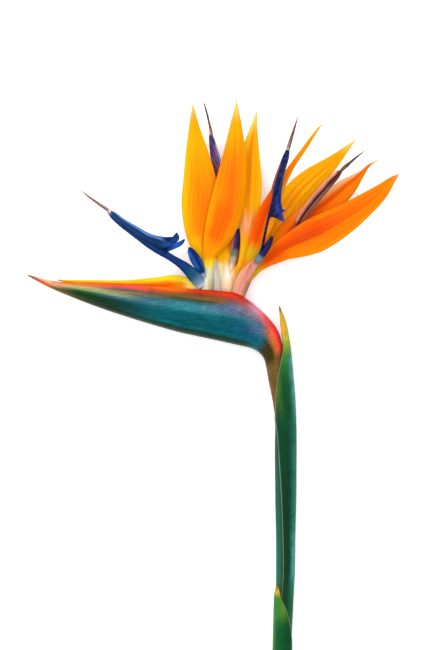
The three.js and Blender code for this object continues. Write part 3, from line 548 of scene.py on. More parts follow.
def spathe_piece():
    """The boat: an outer wall with ridges and a raised lip, and a smooth inner wall."""
    rows = smooth_rows(SPATHE, SPATHE_ROWS)
    middle_z, half, gap = rows[:, 4], rows[:, 5], rows[:, 6]
    top = np.column_stack([rows[:, 0:2], middle_z])
    keel = np.column_stack([rows[:, 2:4], middle_z])
    height = np.linalg.norm(top - keel, axis=1)
    rise = (top - keel) / height[:, None]
    wall = np.minimum(SPATHE_WALL, 0.3 * np.minimum(half, height))
    outer, share = spathe_section(keel, rise, height, half, gap)
    inner, _ = spathe_section(
        keel + rise * wall[:, None], rise, height - wall, half - wall, gap - 0.6 * wall)
    turn = np.linspace(-1, 1, SPATHE_COLUMNS + 1)[None, :]
    lip = LIP_HEIGHT * ease(np.abs(turn), LIP_START, LIP_CREST) * (1 - ease(np.abs(turn), LIP_CREST, 1))
    ridges = RIDGE_HEIGHT * np.cos(turn * RIDGE_PACE)
    outer[..., 2] += np.sign(turn) * (lip * ease(half, 2, 8)[:, None] + ridges * ease(half, 3, 9)[:, None])
    attributes = {
        "along": np.linspace(0, 1, SPATHE_ROWS + 1)[:, None], "across": out_and_in(share, share),
        "inside": np.repeat([0.0, 1.0], SPATHE_COLUMNS + 1)[None, :]}
    return ring_piece("spathe", out_and_in(outer, inner), attributes, paired=True)


SHEATH_COLUMNS = 96
SHEATH_ROWS_PER_SPAN = 12
AXIS_STEPS = 600
# Half widths in degrees between which a sheath closes around the stem.
CLOSING = (140, 166)
TUCK_ANGLE = 34.0
TUCK_DEPTH = 0.5
MARGIN_TAPER = 14
RIB_HEIGHT = 0.05
RIB_PACE = 60


def sheath_piece(name):
    """A rolled leaf sheath; where it closes around the stem, its far edge tucks under the near one."""
    rows = smooth_rows(SHEATHS[name], (len(SHEATHS[name]) - 1) * SHEATH_ROWS_PER_SPAN)
    y, radius, centre, width = (column[:, None] for column in rows.T)
    axis = smooth_rows(STEM_AXIS, AXIS_STEPS)
    axis = axis[np.argsort(axis[:, 0])]
    axis_x = np.interp(y, axis[:, 0], axis[:, 1])
    axis_z = np.interp(y, axis[:, 0], axis[:, 2])
    turn = np.linspace(-1, 1, SHEATH_COLUMNS + 1)[None, :]
    closed = ease(width, *CLOSING)
    tucked = ease(-turn, 0.5, 1.0) * closed
    angle = np.radians(centre + SHEATH_HANDS[name] * (width * turn - TUCK_ANGLE * tucked))
    depth = TUCK_DEPTH * ease(-turn, 0.72, 0.86) * closed
    edge = np.clip((1 - np.abs(turn)) * MARGIN_TAPER, 0.25, 1)
    ribs = RIB_HEIGHT * np.cos(turn * RIB_PACE)

    def wall(r):
        return np.stack([axis_x + r * np.cos(angle), y + 0 * angle, axis_z + r * np.sin(angle)], axis=-1)

    outer = wall(radius - depth + ribs - SHEATH_WALL * 0.5 * (1 - edge))
    inner = wall(radius - depth - SHEATH_WALL * (0.5 + 0.5 * edge) + 0.3 * tucked)
    facing = np.cos(angle)
    attributes = {
        "along": np.linspace(0, 1, len(rows))[:, None], "across": out_and_in(turn, turn),
        "facing": out_and_in(facing, facing)}
    return ring_piece(name, out_and_in(outer, inner), attributes, paired=True)


# ------------------------------------------------------------------ tones

# Colours as a screen shows them, 0 to 255.
PALETTE = {
    "white": (240, 240, 232), "white green": (222, 234, 208), "cream": (242, 232, 186),
    "pale peach": (252, 206, 160), "peach": (252, 160, 92), "peach pink": (234, 166, 128),
    "pale yellow": (250, 232, 130), "lemon": (255, 226, 30), "yellow": (255, 194, 0),
    "golden": (255, 172, 0), "orange": (255, 146, 0), "deep orange": (255, 118, 0),
    "red orange": (248, 86, 0), "rust": (212, 64, 0), "dark rust": (150, 48, 10),
    "olive gold": (190, 150, 20), "yellow olive": (214, 190, 30), "salmon": (255, 160, 128),
    "pink": (228, 150, 128),
    "rose": (200, 108, 122), "dark red": (128, 40, 38), "brown": (130, 78, 42),
    "orange brown": (172, 88, 38), "dark brown": (66, 34, 20), "black brown": (34, 16, 12),
    "tan": (198, 166, 112), "beige": (196, 184, 144), "mauve brown": (158, 100, 98),
    "grey mauve": (126, 112, 124),
    "navy": (12, 18, 62), "black navy": (2, 10, 34), "blue": (0, 58, 128),
    "bright blue": (10, 86, 172), "dark blue": (0, 40, 104), "light blue": (104, 152, 232),
    "pale blue": (190, 206, 226),
    "indigo": (26, 34, 100), "violet blue": (44, 58, 140), "purple": (76, 44, 102),
    "lavender": (184, 154, 204), "lilac": (214, 160, 192),
    "green teal": (14, 92, 96), "grey teal": (110, 140, 150), "grey green": (112, 122, 98),
    "teal": (0, 92, 102), "deep teal": (0, 68, 76), "light teal": (72, 152, 150),
    "slate": (88, 98, 136), "steel": (52, 124, 138), "deep blue": (12, 62, 106), "sage": (136, 152, 100),
    "dark green": (16, 46, 14), "olive": (54, 50, 4), "green": (24, 84, 40),
    "dark olive": (84, 80, 36), "olive brown": (108, 80, 28), "umber": (52, 44, 8), "moss": (112, 104, 16),
    "poppy": (234, 46, 20), "warm orange": (246, 106, 0), "coral": (250, 92, 76),
    "amber": (242, 142, 0), "brick": (168, 44, 24), "shell": (250, 218, 208),
    "hot pink": (255, 118, 146), "scarlet": (255, 58, 60), "burnt orange": (216, 98, 36),
    "leaf green": (14, 98, 44), "fern": (70, 104, 40), "stem green": (0, 58, 32), "deep green": (0, 40, 16),
    "teal green": (34, 108, 90), "bright green": (62, 142, 50), "yellow green": (172, 180, 44),
    "straw": (204, 182, 56), "fold orange": (236, 158, 40), "margin grey": (150, 140, 112),
    "shade brown": (70, 62, 38), "pith": (206, 214, 160), "pith rim": (120, 150, 84),
}
# The part of a tone's light that the paint keeps.
TONE_SHARE = 0.82
WHITE = (1.0, 1.0, 1.0, 1.0)
NOISE_ROUGHNESS = 0.55


def paint(name):
    """A tone of the palette as linear light."""
    channels = [value / 255 for value in PALETTE[name]]
    linear = [c / 12.92 if c <= 0.04045 else ((c + 0.055) / 1.055) ** 2.4 for c in channels]
    return (*[TONE_SHARE * value for value in linear], 1.0)


class Shader:
    """A few short words for building one material's nodes."""

    def __init__(self, name):
        self.material = bpy.data.materials.new(name)
        self.material.use_nodes = True
        self.tree = self.material.node_tree
        self.tree.nodes.clear()
        self.object_coordinates = self.node("ShaderNodeTexCoord", {}).outputs["Object"]
        self.seed = float(sum(map(ord, name)) % 97)

    def node(self, kind, inputs, **settings):
        """A node with its settings, each input set to a value or linked to another node."""
        node = self.tree.nodes.new(kind)
        for key, value in settings.items():
            setattr(node, key, value)
        for key, value in inputs.items():
            if isinstance(value, bpy.types.NodeSocket):
                self.tree.links.new(value, node.inputs[key])
            else:
                node.inputs[key].default_value = value
        return node

    def attribute(self, name):
        return self.node("ShaderNodeAttribute", {}, attribute_name=name).outputs["Fac"]

    def math(self, operation, first, second):
        return self.node("ShaderNodeMath", {0: first, 1: second}, operation=operation).outputs[0]

    def times(self, first, second):
        return self.math("MULTIPLY", first, second)

    def plus(self, first, second):
        return self.math("ADD", first, second)

    def step(self, value, low, high):
        """0 below low, 1 above high, smooth between; low may be the higher one."""
        inputs = {"Value": value, "From Min": low, "From Max": high}
        return self.node("ShaderNodeMapRange", inputs, interpolation_type="SMOOTHSTEP").outputs["Result"]

    def window(self, value, low, high, soft):
        """1 between low and high, fading out over soft on both sides."""
        rise = self.step(value, low - soft, low + soft)
        fall = self.step(value, high + soft, high - soft)
        return self.times(rise, fall)

    def wander(self, value, noise, share):
        """A value pushed up and down by a noise around its middle."""
        return self.plus(value, self.times(self.math("SUBTRACT", noise, 0.5), share))

    def mix(self, share, first, second, mode="MIX"):
        node = self.node("ShaderNodeMix", {"Factor": share, "A": first, "B": second},
                         data_type="RGBA", blend_type=mode)
        return node.outputs["Result"]

    def wash(self, colour, washes, along, across, soft):
        """Soft patches of paint, each in a window along and across the piece."""
        for name, along_window, across_window, strength in washes:
            patch = self.window(along, *along_window, soft[0])
            patch = self.times(patch, self.window(across, *across_window, soft[1]))
            colour = self.mix(self.times(patch, strength), colour, paint(name))
        return colour

    def streaks(self, colour, *rows):
        """Where each noise passes from low to high, multiply the colour by a tint (255 is no change)."""
        for noise, low, high, share, tint in rows:
            factor = (*[value / 255 for value in tint], 1.0)
            tinted = self.mix(1.0, colour, factor, "MULTIPLY")
            colour = self.mix(self.times(self.step(noise, low, high), share), colour, tinted)
        return colour

    def vector(self, x, y, z):
        return self.node("ShaderNodeCombineXYZ", {0: x, 1: y, 2: z}).outputs[0]

    def noise(self, place, scale, detail=3.0):
        inputs = {"Vector": place, "Scale": scale, "Detail": detail, "Roughness": NOISE_ROUGHNESS}
        return self.node("ShaderNodeTexNoise", inputs).outputs["Fac"]

    def grain(self, across, across_scale, along, along_scale, detail=4.0):
        """Noise drawn out along the piece, or across it where along_scale is the larger one."""
        place = self.vector(self.times(across, across_scale), self.times(along, along_scale), self.seed)
        return self.noise(place, 1.0, detail)

    def bump(self, height, strength, distance):
        inputs = {"Strength": strength, "Distance": distance, "Height": height}
        return self.node("ShaderNodeBump", inputs).outputs["Normal"]

    def finish(self, colour, roughness, normal, gloss, glow=0.0, lit=0.0):
        """Close the material: glow lets light through it, lit gives it a faint light of its own."""
        surface = self.node("ShaderNodeBsdfPrincipled", {
            "Base Color": colour, "Roughness": roughness, "Normal": normal,
            "Specular IOR Level": gloss, "Emission Color": WHITE, "Emission Strength": lit}).outputs[0]
        if glow:
            light = self.node("ShaderNodeBsdfTranslucent", {"Color": colour, "Normal": normal})
            parts = {0: glow, 1: surface, 2: light.outputs[0]}
            surface = self.node("ShaderNodeMixShader", parts).outputs[0]
        self.node("ShaderNodeOutputMaterial", {"Surface": surface})
        return self.material


# ------------------------------------------------------------------ washes

# Each wash: tone, window along the piece (0 foot to 1 tip), window across it (-1 left edge to
# 1 right edge), strength.
ALL = (-2.0, 2.0)
PALE_FOOT = [("cream", (-1, 0.14), ALL, 0.9), ("white green", (-1, 0.07), ALL, 0.9)]
PINK_FOOT = [("peach", (-1, 0.12), ALL, 0.7), ("pink", (-1, 0.06), ALL, 0.8)]
PALE_POINT = [("pale yellow", (0.95, 2), ALL, 0.9)]

SEPAL_WASHES = {
    "flower1_sepal_left": ("orange", [
        ("golden", (0.15, 0.9), (-2, -0.35), 0.9),
        ("golden", (0.7, 0.95), ALL, 0.7),
        ("deep orange", (0.36, 0.62), (0.0, 0.7), 0.35),
        ("yellow", (0.16, 0.4), (-2, 0.1), 0.9),
        ("yellow", (0.4, 0.9), (-2, -0.66), 0.9),
        ("yellow", (0.8, 0.95), ALL, 0.6),
        ("lemon", (0.13, 0.2), ALL, 0.6)] + PALE_FOOT + PALE_POINT),
    "flower1_sepal_right": ("orange", [
        ("red orange", (0.38, 0.58), (-0.6, 0.35), 0.7),
        ("deep orange", (0.34, 0.76), (-0.5, 0.35), 0.6),
        ("golden", (0.3, 0.85), (0.72, 2), 0.7),
        ("golden", (0.3, 0.7), (-2, -0.8), 0.5),
        ("yellow", (0.82, 0.96), ALL, 0.7),
        ("golden", (0.2, 0.38), ALL, 0.85),
        ("lemon", (0.1, 0.25), ALL, 0.95),
        ("pale yellow", (0.13, 0.19), ALL, 0.6),
        ("white green", (-1, 0.15), ALL, 0.95),
        ("pale yellow", (0.93, 2), ALL, 0.9)]),
    "flower1_sepal_low": ("lemon", [
        ("golden", (0.26, 0.95), (-2, 0.5), 0.75),
        ("orange", (0.28, 0.95), (-2, 0.2), 0.85),
        ("deep orange", (0.27, 0.5), (-2, 0.45), 0.7),
        ("red orange", (0.3, 0.8), (-2, 0.2), 0.75),
        ("yellow", (0.55, 0.95), (0.5, 2), 0.5),
        ("yellow olive", (0.3, 0.38), (-0.6, 2), 0.35),
        ("pale yellow", (0.14, 0.28), ALL, 0.6),
        ("white green", (-1, 0.18), ALL, 0.9),
        ("dark brown", (0.975, 2), ALL, 0.9)]),
    "flower2_sepal_near": ("golden", [
        ("yellow", (0.5, 0.9), (-2, -0.5), 0.6),
        ("orange", (0.4, 0.85), (-0.3, 0.2), 0.6),
        ("yellow", (0.5, 0.92), (0.3, 2), 0.7),
        # Painted light: lemon lightens the left half, which lies in the shade of the sepal above.
        ("lemon", (0.5, 0.95), (-2, -0.3), 0.85),
        ("peach", (0.4, 0.54), (-0.9, 0.7), 0.9),
        ("pale peach", (0.43, 0.5), (-0.5, 0.3), 0.4),
        ("lemon", (0.16, 0.34), ALL, 0.4),
        ("pale peach", (-1, 0.1), ALL, 0.95),
        ("pale yellow", (0.9, 0.98), ALL, 0.6)] + PALE_POINT),
    "flower2_sepal_mid": ("golden", [
        ("yellow", (0.26, 0.7), (-2, -0.4), 0.6),
        # Painted shade: orange brown and rust on the right half, where the sepals above shade it.
        ("orange brown", (0.4, 0.75), (0.35, 2), 0.7),
        ("rust", (0.44, 0.62), (0.05, 0.6), 0.5),
        ("yellow", (0.22, 0.42), ALL, 0.6),
        ("cream", (-1, 0.3), ALL, 0.9),
        ("white", (-1, 0.16), ALL, 0.5)] + PALE_POINT),
    "flower3_sepal_upper": ("deep orange", [
        ("red orange", (0.3, 0.66), (-0.8, 0.25), 0.85),
        ("rust", (0.36, 0.56), (-0.45, 0.0), 0.35),
        ("golden", (0.4, 0.85), (0.55, 2), 0.85),
        ("yellow", (0.5, 0.9), (0.8, 2), 0.5),
        ("orange", (0.66, 0.86), ALL, 0.7),
        ("golden", (0.74, 0.97), ALL, 0.7),
        ("yellow", (0.86, 0.97), ALL, 0.8),
        ("yellow olive", (0.18, 0.3), ALL, 0.75)] + PINK_FOOT + PALE_POINT),
    "flower3_sepal_lower": ("deep orange", [
        ("red orange", (0.28, 0.72), (-0.8, 0.6), 0.8),
        ("rust", (0.28, 0.62), (-0.45, 0.3), 0.6),
        ("deep orange", (0.66, 0.92), ALL, 0.6),
        ("orange", (0.4, 0.92), (0.15, 2), 0.7),
        ("rust", (0.4, 0.9), (0.0, 0.06), 0.5),
        ("golden", (0.5, 0.8), (0.8, 2), 0.6),
        ("orange", (0.6, 0.9), (-2, -0.7), 0.5),
        ("yellow olive", (0.12, 0.27), (-0.6, 2), 0.8),
        ("orange", (0.8, 0.96), (-2, 0.3), 0.7),
        ("golden", (0.86, 0.97), (0.2, 2), 0.6),
        ("peach", (0.93, 2), ALL, 0.9),
        ("pale peach", (0.97, 2), ALL, 0.9)] + PINK_FOOT),
    "flower4_sepal_upper": ("golden", [
        ("yellow", (0.6, 0.97), (-0.6, 2), 0.6),
        ("orange", (0.3, 0.9), (-0.1, 0.1), 0.55),
        ("deep orange", (0.3, 0.75), (0.4, 0.5), 0.4),
        ("yellow", (0.5, 0.97), (-2, -0.6), 0.4),
        ("golden", (0.2, 0.4), ALL, 0.6),
        ("red orange", (0.5, 0.9), (-0.5, -0.42), 0.5)] + PINK_FOOT + PALE_POINT),
    "flower4_sepal_lower": ("deep orange", [
        ("red orange", (0.28, 0.6), (-0.3, 0.5), 0.7),
        ("orange", (0.5, 0.86), (0.1, 0.6), 0.6),
        ("peach", (0.42, 0.86), (-2, -0.5), 0.85),
        ("pale peach", (0.55, 0.88), (-2, -0.68), 0.9),
        ("dark rust", (0.36, 0.8), (-0.28, -0.16), 0.7),
        ("olive gold", (0.45, 0.8), (0.78, 2), 0.7),
        ("golden", (0.2, 0.32), ALL, 0.4),
        ("pale peach", (0.93, 2), ALL, 0.9)] + PINK_FOOT),
}
HIDDEN_SEPAL_WASHES = ("orange", [
    ("deep orange", (0.3, 0.7), (-0.4, 0.4), 0.6),
    ("golden", (0.2, 0.9), (-2, -0.6), 0.7),
    ("golden", (0.2, 0.9), (0.6, 2), 0.7)] + PINK_FOOT + PALE_POINT)
# Tone and strength of the line along a sepal's midrib.
RIB_TONES = {
    "flower1_sepal_left": ("deep orange", 0.35), "flower1_sepal_right": ("red orange", 0.5),
    "flower2_sepal_near": ("deep orange", 0.55), "flower3_sepal_upper": ("rust", 0.5),
    "flower3_sepal_lower": ("rust", 0.3), "flower4_sepal_upper": ("red orange", 0.3),
}

NECTARY_WASHES = {
    "flower1_nectary": ("dark blue", [
        ("bright blue", (0.25, 0.8), (-0.9, -0.1), 0.8),
        ("light blue", (0.6, 0.95), (-2, -0.75), 0.8),
        ("black navy", (0.05, 0.95), (0.1, 0.4), 0.85),
        ("bright blue", (0.1, 0.5), (0.5, 2), 0.6),
        ("pale blue", (-1, 0.1), ALL, 0.6)]),
    "flower2_nectary": ("purple", [
        ("navy", (0.5, 2), (0.0, 2), 0.85),
        # Painted highlight: lilac along the left edge.
        ("lilac", (0.3, 0.9), (-2, -0.72), 0.8),
        ("grey green", (0.3, 0.46), ALL, 0.8),
        ("beige", (0.14, 0.32), ALL, 0.8),
        ("pale peach", (-1, 0.2), ALL, 0.9)]),
    "flower3_nectary": ("navy", [
        ("indigo", (0.2, 0.9), (-0.6, 0.3), 0.8),
        ("violet blue", (0.3, 0.6), (-2, -0.65), 0.6),
        ("grey teal", (0.3, 0.46), ALL, 0.85),
        ("pink", (-1, 0.28), ALL, 0.95)]),
    "flower4_nectary": ("navy", [
        ("purple", (0.3, 0.9), (-2, 0), 0.7),
        ("grey green", (-1, 0.3), ALL, 0.8)]),
}

# Arrows: along runs from the tip (0) to the foot (1); across from the keel (0) to the near rim
# (1) and the far rim (-1).
ARROW_WASHES = {
    "flower1_arrow": dict(
        skin="dark blue", barb=("bright blue", 0.15),
        outside=[
            ("deep blue", (0.02, 0.4), (0.1, 0.86), 0.8),
            ("black navy", (0.02, 0.34), (0.6, 0.84), 0.6),
            ("blue", (0.34, 0.64), (0.46, 0.95), 0.9),
            ("bright blue", (0.42, 0.56), (0.56, 0.9), 0.9),
            ("black navy", (0.1, 0.6), (0.14, 0.4), 0.8),
            # Painted highlight: light blue along the near rim.
            ("light blue", (0.04, 0.3), (0.92, 2), 0.95),
            ("black navy", (0.42, 0.62), (0.5, 0.62), 0.5),
            ("dark blue", (0.58, 0.84), ALL, 0.8),
            ("green teal", (0.86, 0.92), ALL, 0.6),
            ("grey teal", (0.92, 0.97), ALL, 0.8),
            ("pale blue", (0.97, 2), ALL, 0.85),
            ("shell", (-1, 0.015), ALL, 0.6)],
        inside=[
            # Painted highlight: light blue along the far rim, the upper edge.
            ("light blue", (0.03, 0.3), (-2, -0.8), 0.85),
            ("blue", (0.4, 0.7), ALL, 0.6)],
        inner="dark blue"),
    "flower2_arrow": dict(
        skin="navy", barb=("lavender", 0.5),
        outside=[("lavender", (0.1, 0.7), (-2, -0.8), 0.7), ("indigo", (0.1, 0.6), (0.6, 2), 0.7)],
        inside=[
            ("navy", (0.0, 0.25), ALL, 0.7),
            ("purple", (0.2, 0.7), (-0.5, 0.4), 0.85),
            ("lavender", (0.14, 0.7), (-2, -0.6), 0.85),
            ("lavender", (0.3, 0.66), (0.8, 2), 0.6),
            ("black navy", (0.05, 0.7), (-0.16, 0.06), 0.8),
            ("brown", (0.3, 0.66), (0.2, 0.5), 0.5),
            ("dark red", (0.34, 0.8), (-0.4, 2), 0.75),
            ("dark rust", (0.5, 0.8), ALL, 0.85)],
        inner="indigo"),
    "flower3_arrow": dict(
        skin="navy", barb=("violet blue", 0.6),
        outside=[
            ("deep blue", (-1, 0.3), (0.2, 0.9), 0.8),
            ("indigo", (0.3, 0.5), (0.3, 0.8), 0.8),
            # Painted sheen: the violet blue patch in the middle of the face.
            ("violet blue", (0.36, 0.5), (0.35, 0.65), 0.8),
            ("lavender", (0.1, 0.36), (0.9, 2), 0.7),
            ("lavender", (0.4, 0.66), (0.88, 2), 0.6),
            ("purple", (0.48, 0.62), (0.6, 0.86), 0.7),
            ("black navy", (0.2, 0.9), (-0.3, 0.26), 0.9),
            ("orange brown", (0.12, 0.42), (-2, -0.5), 0.8),
            ("black navy", (0.66, 0.9), ALL, 0.9),
            ("grey teal", (0.95, 2), ALL, 0.7)],
        inside=[
            ("orange brown", (0.1, 0.45), (-2, -0.2), 0.85),
            ("lavender", (0.1, 0.4), (-2, -0.9), 0.8),
            ("lavender", (0.1, 0.6), (0.9, 2), 0.7)],
        inner="navy"),
    "flower4_arrow": dict(
        skin="mauve brown", barb=("dark brown", 0.3),
        outside=[("brown", (0.1, 0.8), (-0.3, 0.3), 0.7)],
        inside=[
            ("rose", (0.06, 0.74), (0.3, 0.56), 0.7),
            ("salmon", (0.06, 0.74), (0.54, 2), 1.0),
            ("pale peach", (0.1, 0.6), (0.9, 2), 0.6),
            ("mauve brown", (0.1, 0.6), (-0.8, -0.3), 0.7),
            ("dark rust", (0.4, 0.75), (-2, -0.2), 0.5),
            ("black brown", (0.04, 0.7), (-0.62, -0.5), 0.6),
            ("dark brown", (-1, 0.2), (-2, 0.5), 0.7),
            # Painted shade: near black deep in the channel's slit and down the claw.
            ("black brown", (0.0, 0.8), (-0.2, 0.24), 1.0),
            ("black brown", (0.62, 2), ALL, 0.6)],
        inner="brown"),
}

# Round pieces: along runs from the foot (0) to the tip (1), across from the left (-1) side of
# the piece to its right (1).
STYLE_WASHES = {
    "flower1_style": ("grey mauve", [
        ("shell", (-1, 0.14), ALL, 0.8), ("mauve brown", (0.2, 0.9), (-0.2, 2), 0.7),
        ("dark brown", (0.1, 0.9), (-2, -0.2), 0.9), ("brown", (0.5, 2), ALL, 0.5)]),
    "flower2_style": ("dark brown", [
        ("burnt orange", (-1, 0.24), (-2, 0.2), 0.8), ("black brown", (0.1, 0.9), (0.2, 2), 0.7)]),
    "flower3_style": ("grey mauve", [
        ("beige", (-1, 0.1), ALL, 0.5), ("dark brown", (0.1, 0.9), (0.2, 2), 0.7),
        ("dark red", (0.4, 0.9), ALL, 0.8), ("dark brown", (0.5, 2), ALL, 0.7)]),
    "flower4_style": ("black brown", [
        ("brown", (0.15, 0.4), (-0.4, 0.2), 0.7), ("dark brown", (0.5, 2), ALL, 0.7)]),
}
BASE_WASHES = {
    "flower1_base": ("beige", [
        ("cream", (0.1, 0.7), (-0.4, 0.3), 0.5),
        ("white green", (0.4, 2), ALL, 0.6),
        ("beige", (-1, 0.5), (0.2, 2), 0.7),
        ("white", (0.3, 0.9), (-2, -0.5), 0.5)]),
    "flower2_base": ("cream", [
        ("white", (0.4, 0.9), (-0.6, 0.2), 0.6), ("peach", (-1, 0.6), (0.3, 2), 0.6),
        ("pale peach", (-1, 0.5), ALL, 0.6), ("burnt orange", (-1, 0.9), (0.9, 2), 0.7)]),
    "flower3_base": ("peach pink", [
        ("pink", (0.1, 0.9), (-0.5, 0.6), 0.8),
        ("rose", (0.1, 0.9), (-0.2, 0.1), 0.5), ("dark red", (0.1, 0.8), (0.42, 0.56), 0.6),
        ("mauve brown", (0.0, 0.9), (0.6, 2), 0.8), ("salmon", (-1, 0.3), ALL, 0.4),
        ("pale peach", (0.3, 0.9), (-2, -0.75), 0.5)]),
    "flower4_base": ("orange brown", [
        ("dark red", (0.2, 0.8), (-2, 0), 0.6), ("salmon", (-1, 0.3), ALL, 0.5)]),
}
PEDUNCLE_WASHES = ("leaf green", [
    ("stem green", (0.1, 0.7), (-0.3, 0.4), 0.6), ("olive brown", (0.8, 2), ALL, 0.7)])

# Spathe: along runs from the tip (0) around the bend (0.6) to the foot (1); across from the
# keel (0) to the margin of the slit (1).
SPATHE_WASHES = [
    ("deep teal", (0.2, 0.5), (0.2, 0.46), 0.6),
    ("teal", (0.24, 0.5), (0.4, 0.6), 0.5),
    ("deep blue", (0.17, 0.24), (0.3, 0.5), 0.5),
    ("green", (-1, 0.2), (0.3, 0.66), 0.95),
    # Darker on the lower, keel side: partly the spathe's own dark green, partly painted shade.
    ("dark green", (-1, 0.25), (-1, 0.46), 0.9),
    ("dark green", (0.0, 0.56), (-1, 0.13), 0.9),
    ("olive", (-1, 0.18), (-1, 0.2), 0.9),
    ("moss", (0.06, 0.14), (-1, 0.3), 0.7),
    # Painted highlight: the steel band along the upper flank.
    ("steel", (0.28, 0.46), (0.52, 0.68), 0.75),
    ("slate", (0.2, 0.28), (0.5, 0.62), 0.5),
    ("slate", (0.4, 0.5), (0.56, 0.76), 0.5),
    # Painted highlight: the sage band on the upper flank near the tip.
    ("sage", (0.1, 0.24), (0.58, 0.76), 0.9),
    ("tan", (0.05, 0.19), (0.7, 0.84), 0.85),
    ("brown", (0.2, 0.3), (0.7, 0.83), 0.7),
    ("brown", (0.4, 0.49), (0.75, 0.86), 0.85),
    ("dark olive", (0.28, 0.48), (0.72, 0.85), 0.8),
    ("dark green", (0.3, 0.42), (0.7, 0.77), 0.4),
    ("poppy", (0.03, 0.6), (0.87, 2), 1.0),
    ("warm orange", (0.05, 0.2), (0.84, 2), 1.0),
    ("coral", (0.21, 0.26), (0.86, 2), 0.7),
    ("amber", (0.27, 0.335), (0.94, 2), 0.85),
    ("warm orange", (0.27, 0.34), (0.84, 0.94), 0.7),
    ("brick", (0.34, 0.5), (0.82, 0.93), 0.9),
    ("brick", (0.37, 0.44), (0.9, 2), 0.6),
    ("olive brown", (0.27, 0.45), (0.8, 0.9), 0.8),
    ("tan", (0.02, 0.12), (0.34, 0.7), 0.9),
    ("burnt orange", (-1, 0.09), (-1, 0.56), 0.85),
    ("salmon", (-1, 0.12), (0.55, 0.86), 0.6),
    ("shell", (0.03, 0.09), (0.74, 2), 0.85),
    ("brick", (-1, 0.045), (-1, 0.8), 0.75),
    ("dark brown", (-1, 0.005), ALL, 0.9),
]
SPATHE_BEND_WASHES = [
    ("deep blue", (0.49, 0.58), (0.2, 0.5), 0.6),
    ("slate", (0.45, 0.56), (0.62, 0.78), 0.8),
    ("slate", (0.54, 0.6), (0.4, 0.7), 0.6),
    ("olive brown", (0.64, 0.94), (-1, 2), 0.95),
    ("leaf green", (0.97, 2), (-1, 2), 0.9),
    ("umber", (0.61, 0.73), (-1, 0.5), 0.95),
    ("grey mauve", (0.49, 0.56), (0.68, 0.84), 0.8),
    ("mauve brown", (0.5, 0.56), (0.8, 0.9), 0.6),
    ("lilac", (0.53, 0.57), (0.84, 2), 0.95),
    ("brick", (0.48, 0.525), (0.84, 2), 0.6),
    ("burnt orange", (0.6, 0.7), (0.55, 0.9), 0.8),
    ("coral", (0.57, 0.6), (0.76, 2), 0.7),
    ("hot pink", (0.565, 0.585), (0.84, 2), 0.6),
    ("scarlet", (0.6, 0.705), (0.8, 2), 1.0),
    ("brown", (0.74, 0.95), (-1, 0.06), 0.9),
    ("orange brown", (0.76, 0.95), (0.9, 2), 0.6),
]

# Sheaths: along runs from the tip (0) to the cut (1); across is the side each place faces,
# from the left (-1) to the right (1). The greens fade slowly, the details more sharply.
SHEATH_GREENS = {
    "upper_sheath": [
        ("leaf green", (0.1, 0.42), ALL, 0.75),
        ("bright green", (0.1, 0.26), ALL, 0.85),
        # Painted rim highlights: teal green on the sides of the upper sheath that face right and left.
        ("teal green", (0.46, 2), (0.5, 2), 0.85),
        ("teal green", (0.6, 2), (-2, -0.5), 0.85),
        ("deep green", (0.6, 0.74), (-0.3, 0.4), 0.7),
        ("dark green", (0.78, 2), (-0.4, 0.2), 0.5)],
    "lower_sheath": [
        ("leaf green", (-1, 2), ALL, 0.5),
        ("bright green", (-1, 0.45), (-2, 0.3), 0.6),
        ("moss", (-1, 0.4), (-0.4, 0.2), 0.4),
        ("deep green", (0.45, 2), (-0.1, 2), 0.4),
        ("bright green", (-1, 2), (-2, -0.85), 0.85)],
}
SHEATH_DETAILS = {
    "upper_sheath": [
        ("fern", (0.26, 0.44), (-2, -0.2), 0.8),
        ("fern", (0.12, 0.18), (-2, 0.5), 0.6),
        ("bright green", (0.1, 0.3), (0.25, 0.6), 0.4),
        # Painted rim highlight: light teal on the side that faces right.
        ("light teal", (0.26, 0.46), (0.72, 2), 0.8),
        ("light teal", (0.71, 0.8), (0.6, 2), 0.8),
        ("green", (0.86, 2), (0.4, 2), 0.8),
        ("dark green", (0.34, 0.46), (-0.1, 0.4), 0.4),
        ("salmon", (0.2, 0.27), (-2, 0.05), 0.7),
        ("yellow green", (0.03, 0.24), (0.3, 2), 0.95),
        ("fold orange", (-1, 0.18), (-2, 0.8), 0.95),
        ("dark rust", (-1, 0.03), ALL, 0.95)],
    "lower_sheath": [
        ("straw", (0.0, 0.12), ALL, 0.85),
        ("fold orange", (0.0, 0.08), ALL, 0.6),
        ("dark rust", (-1, 0.02), ALL, 0.95)],
}


# ------------------------------------------------------------------ materials

# Every row of streaks: noise, where it starts and is full, strength, tint.


def along_and_across(s, warp):
    """Place on the piece, pushed about by a slow noise so that no wash has a ruled edge."""
    along, across = s.attribute("along"), s.attribute("across")
    drift = s.grain(across, 2.2, along, 9.0)
    return s.wander(along, drift, warp), s.wander(across, s.grain(across, 3.0, along, 14.0), 3 * warp)


SEPAL_SKIN = dict(vein=(244, 170, 84), pale=(264, 310, 255), gloss=0.04, glow=0.2)
NECTARY_SKIN = dict(vein=(170, 170, 200), pale=(330, 310, 300), gloss=0.1, glow=0.05)


